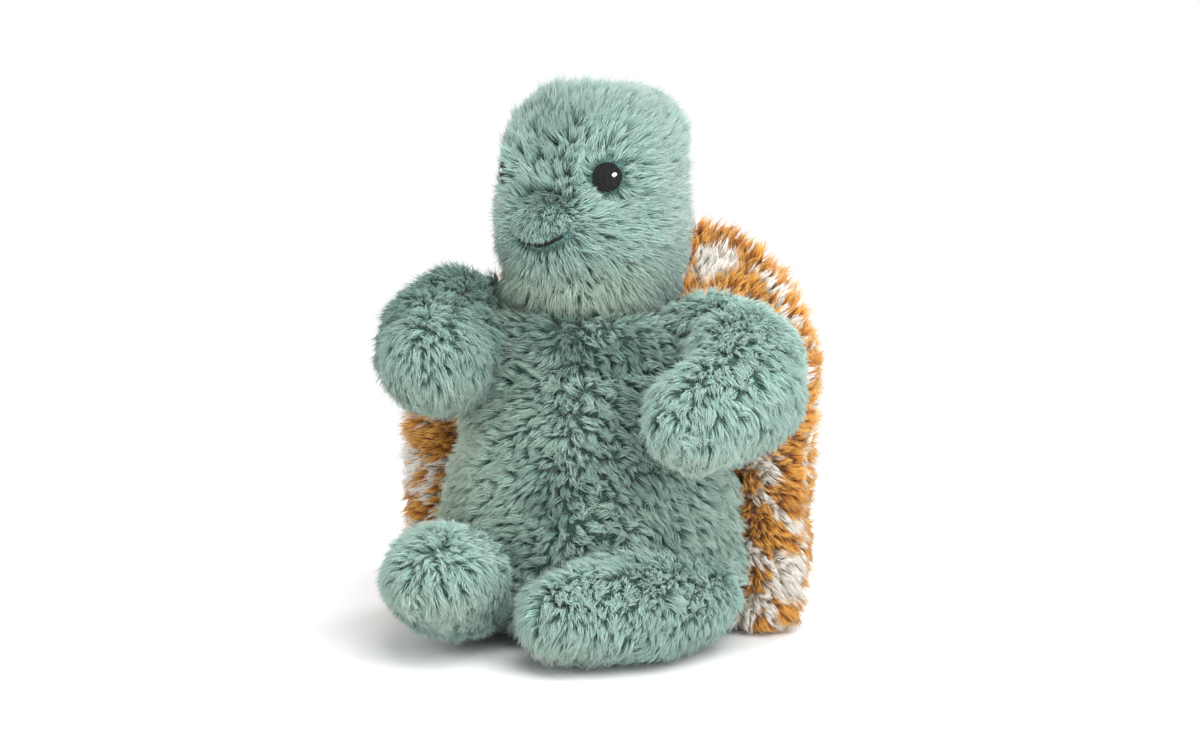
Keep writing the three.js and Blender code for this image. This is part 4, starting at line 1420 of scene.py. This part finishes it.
# Embroidery: every stitch is a short round-ended thread.
def stitchMesh(name, stitches, radius, sides=7, rings=6):
    # a stitch is its two ends and the way that it arches
    points, faces = [], []
    for first, last, arch in stitches:
        heading = unit(last - first)
        across = unit(np.cross(heading, arch))
        up = np.cross(across, heading)
        base = len(points)
        for ring in range(rings):
            way = (ring + 0.5) / rings
            swell = math.sqrt(max(1 - (2 * way - 1) ** 4, 0.1))
            middle = first + (last - first) * way + arch * (1 - (2 * way - 1) ** 2)
            for side in range(sides):
                angle = 2 * math.pi * side / sides
                points.append(middle + radius * swell * (across * math.cos(angle) + up * math.sin(angle)))
        points.extend([first, last])
        faces.extend(tuple(base + corner for corner in face) for face in gridFaces(rings, sides))
    return makeObject(name, points, faces)


def finishStitches(piece, thread, node):
    setPoints(piece, moved(pointsOf(piece), headMatrix))
    finishSkin(piece, thread)
    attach(piece, "head")
    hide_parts(node)


eyeStitches = {
    "spacing": 0.46, "length": 3.1, "shortest": 0.5, "shift": 0.37, "radius": 0.27, "arch": 0.1,
    "past": 0.25, "least": 0.3, "joined": 0.8, "wobble": 0.018, "rings": 9, "sides": 56,
    "under": 0.12, "waves": 9, "waveHeight": 0.012,
}
eyeGlint = {
    "across": 3.6, "up": 1.2, "proud": 0.2, "lean": 0.25, "radius": 0.3, "arch": 0.2,
    "rows": [(-0.95, 0.7), (-0.5, 1.15), (0, 1.35), (0.5, 1.15), (0.95, 0.6)],  # shift and half length
}


def domeRise(across, upwards):
    far = np.hypot(across, upwards) / eye["radius"]
    return eye["thickness"] / 2 - eye["crown"] * np.clip(far, 0, 1) ** 2


def makeEye(side):
    word = "Left" if side > 0 else "Right"
    centre, out, aside = eyePlace(side)
    up = np.array([0, 0, 1.0])
    under, deep = eyeStitches["under"], -eye["thickness"] / 2

    def at(across, upwards, rise):
        return centre + aside * across + up * upwards + out * rise

    points = []
    rings, sides = eyeStitches["rings"], eyeStitches["sides"]
    angles = [2 * math.pi * i / sides for i in range(sides)]
    for ring in range(1, rings + 1):
        for angle in angles:
            wave = 1 + eyeStitches["waveHeight"] * math.sin(eyeStitches["waves"] * angle) * ring / rings
            edge = eye["radius"] * ring / rings * wave
            across, upwards = edge * math.cos(angle), edge * math.sin(angle)
            points.append(at(across, upwards, domeRise(across, upwards) - under))
    for angle in angles:
        points.append(at(eye["radius"] * math.cos(angle), eye["radius"] * math.sin(angle), deep))
    ends = [at(0, 0, -deep - under), at(0, 0, deep)]
    faces = [tuple(reversed(face)) for face in gridFaces(rings + 1, sides)]
    base = makeObject(f"eyeBase{word}", points + ends, faces)
    stitches = []
    rows = int(eye["radius"] / eyeStitches["spacing"])
    for row in range(-rows, rows + 1):
        upwards = row * eyeStitches["spacing"]
        half = math.sqrt(max(eye["radius"] ** 2 - upwards ** 2, 0)) + eyeStitches["past"]
        start = -half
        shortest = eyeStitches["shortest"]
        step = eyeStitches["length"] * (shortest + (1 - shortest) * ((row * eyeStitches["shift"]) % 1))
        while start < half - eyeStitches["least"]:
            stop = min(start + step, half)
            if half - stop < eyeStitches["joined"]:
                stop = half
            lean = eyeStitches["wobble"] * rng.normal()
            first = at(start, upwards + lean, domeRise(start, upwards))
            last = at(stop, upwards - lean, domeRise(stop, upwards))
            stitches.append((first, last, out * eyeStitches["arch"]))
            start = stop
            step = eyeStitches["length"]
    fill = stitchMesh(f"eyeStitches{word}", stitches, eyeStitches["radius"], 6, 5)
    glints = []
    middle, height = side * eyeGlint["across"], eyeGlint["up"]
    rise = domeRise(middle, height) + eyeGlint["proud"]
    for shift, half in eyeGlint["rows"]:
        first = at(middle + shift - eyeGlint["lean"], height - half, rise)
        last = at(middle + shift + eyeGlint["lean"], height + half, rise)
        glints.append((first, last, out * eyeGlint["arch"]))
    glint = stitchMesh(f"eyeGlint{word}", glints, eyeGlint["radius"])
    for piece in (base, fill):
        finishStitches(piece, blackThread, "eye_" + word.lower())
    finishStitches(glint, whiteThread, "eye_glint_" + word.lower())


smileStitches = {"count": 13, "overlap": 0.012, "steps": 200, "wobble": 0.22, "arch": 0.35, "thinned": 0.95}


def makeMouth():
    line = mouthLine(treeOf(headSkin), smileStitches["steps"]) - np.array([0, mouth["proud"], 0])
    steps = np.concatenate([[0], np.cumsum(np.linalg.norm(np.diff(line, axis=0), axis=1))])
    count, overlap = smileStitches["count"], smileStitches["overlap"]
    stitches = []
    for i in range(count):
        ends = []
        for way in (i / count - overlap, (i + 1) / count + overlap):
            along = np.clip(way, 0, 1) * steps[-1]
            ends.append(np.array([np.interp(along, steps, line[:, axis]) for axis in range(3)]))
        wobble = np.array([0, 0, smileStitches["wobble"] * rng.normal()])
        arch = np.array([0, -1.0, 0]) * smileStitches["arch"]
        stitches.append((ends[0] + wobble, ends[1] + wobble, arch))
    piece = stitchMesh("mouthStitch", stitches, mouth["thread"] * smileStitches["thinned"], 9, 7)
    finishStitches(piece, blackThread, "mouth_stitch")


for side in (1, -1):
    makeEye(side)
makeMouth()
print("face embroidered")


# Studio
studio = {
    "azimuth": 20, "elevation": 7.7, "target": (0.006, -0.012, 0.138), "distance": 1.475, "lens": 85,
    "ambient": 0.5,
}
lamps = {
    "overhead": {"place": (0.7, -0.85, 1.55), "power": 31, "size": 1.4},
    "leftFill": {"place": (-1.7, -0.9, 0.8), "power": 12, "size": 1.2},
    "rightFill": {"place": (1.5, -1.3, 0.6), "power": 19, "size": 1.2},
    "rim": {"place": (0.5, 1.7, 1.4), "power": 20, "size": 1.0},
}
floorValues = {"half": 4000, "grey": 0.93, "fadeFrom": 0.25, "fadeTo": 0.7}


def aim(thing, place, heading):
    thing.location = place
    thing.rotation_euler = heading.to_track_quat("-Z", "Y").to_euler()


def makeCamera():
    lens = bpy.data.cameras.new("camera")
    lens.lens = studio["lens"]
    lens.sensor_width = 36
    scene.camera = addObject("camera", lens)
    around, above = math.radians(studio["azimuth"]), math.radians(studio["elevation"])
    level = math.cos(above)
    away = Vector((level * math.sin(around), -level * math.cos(around), math.sin(above)))
    aim(scene.camera, Vector(studio["target"]) + away * studio["distance"], -away)


def makeLamp(name, values):
    light = bpy.data.lights.new(name, "AREA")
    light.energy = values["power"]
    light.size = values["size"]
    aim(addObject(name, light), values["place"], Vector(studio["target"]) - Vector(values["place"]))


def makeFloor():
    # white to the camera further out, and with the object's shadow near it
    half, grey = floorValues["half"], floorValues["grey"]
    corners = [(-half, -half, 0), (half, -half, 0), (half, half, 0), (-half, half, 0)]
    floor = makeObject("floor", corners, [(0, 1, 2, 3)])
    finish = Finish("floorWhite", {"Base Color": (grey, grey, grey, 1), "Roughness": 0.9})
    far = finish.vector("LENGTH", {0: finish.objectPlace()}, "Value")
    white = finish.node("ShaderNodeEmission", {}, {"Color": (1, 1, 1, 1), "Strength": 1.0})["Emission"]
    share = finish.ease(far, floorValues["fadeFrom"], floorValues["fadeTo"]) * finish.background()
    both = finish.node("ShaderNodeMixShader", {}, {0: share, 1: finish.shader["BSDF"], 2: white})["Shader"]
    finish.tree.links.new(both.socket, finish.output.made.inputs["Surface"])
    floor.data.materials.append(finish.material)


def makeWorld():
    # white behind the object, and a plain level of light on it
    scene.world = bpy.data.worlds.new("studio")
    nodes = Nodes(scene.world)
    strength = nodes.background() * (1 - studio["ambient"]) + studio["ambient"]
    light = nodes.node("ShaderNodeBackground", {}, {"Color": (1, 1, 1, 1), "Strength": strength})
    nodes.node("ShaderNodeOutputWorld", {}, {"Surface": light["Background"]})


makeCamera()
for name, values in lamps.items():
    makeLamp(name, values)
makeFloor()
makeWorld()
scene.view_settings.view_transform = "Standard"
print("studio set")
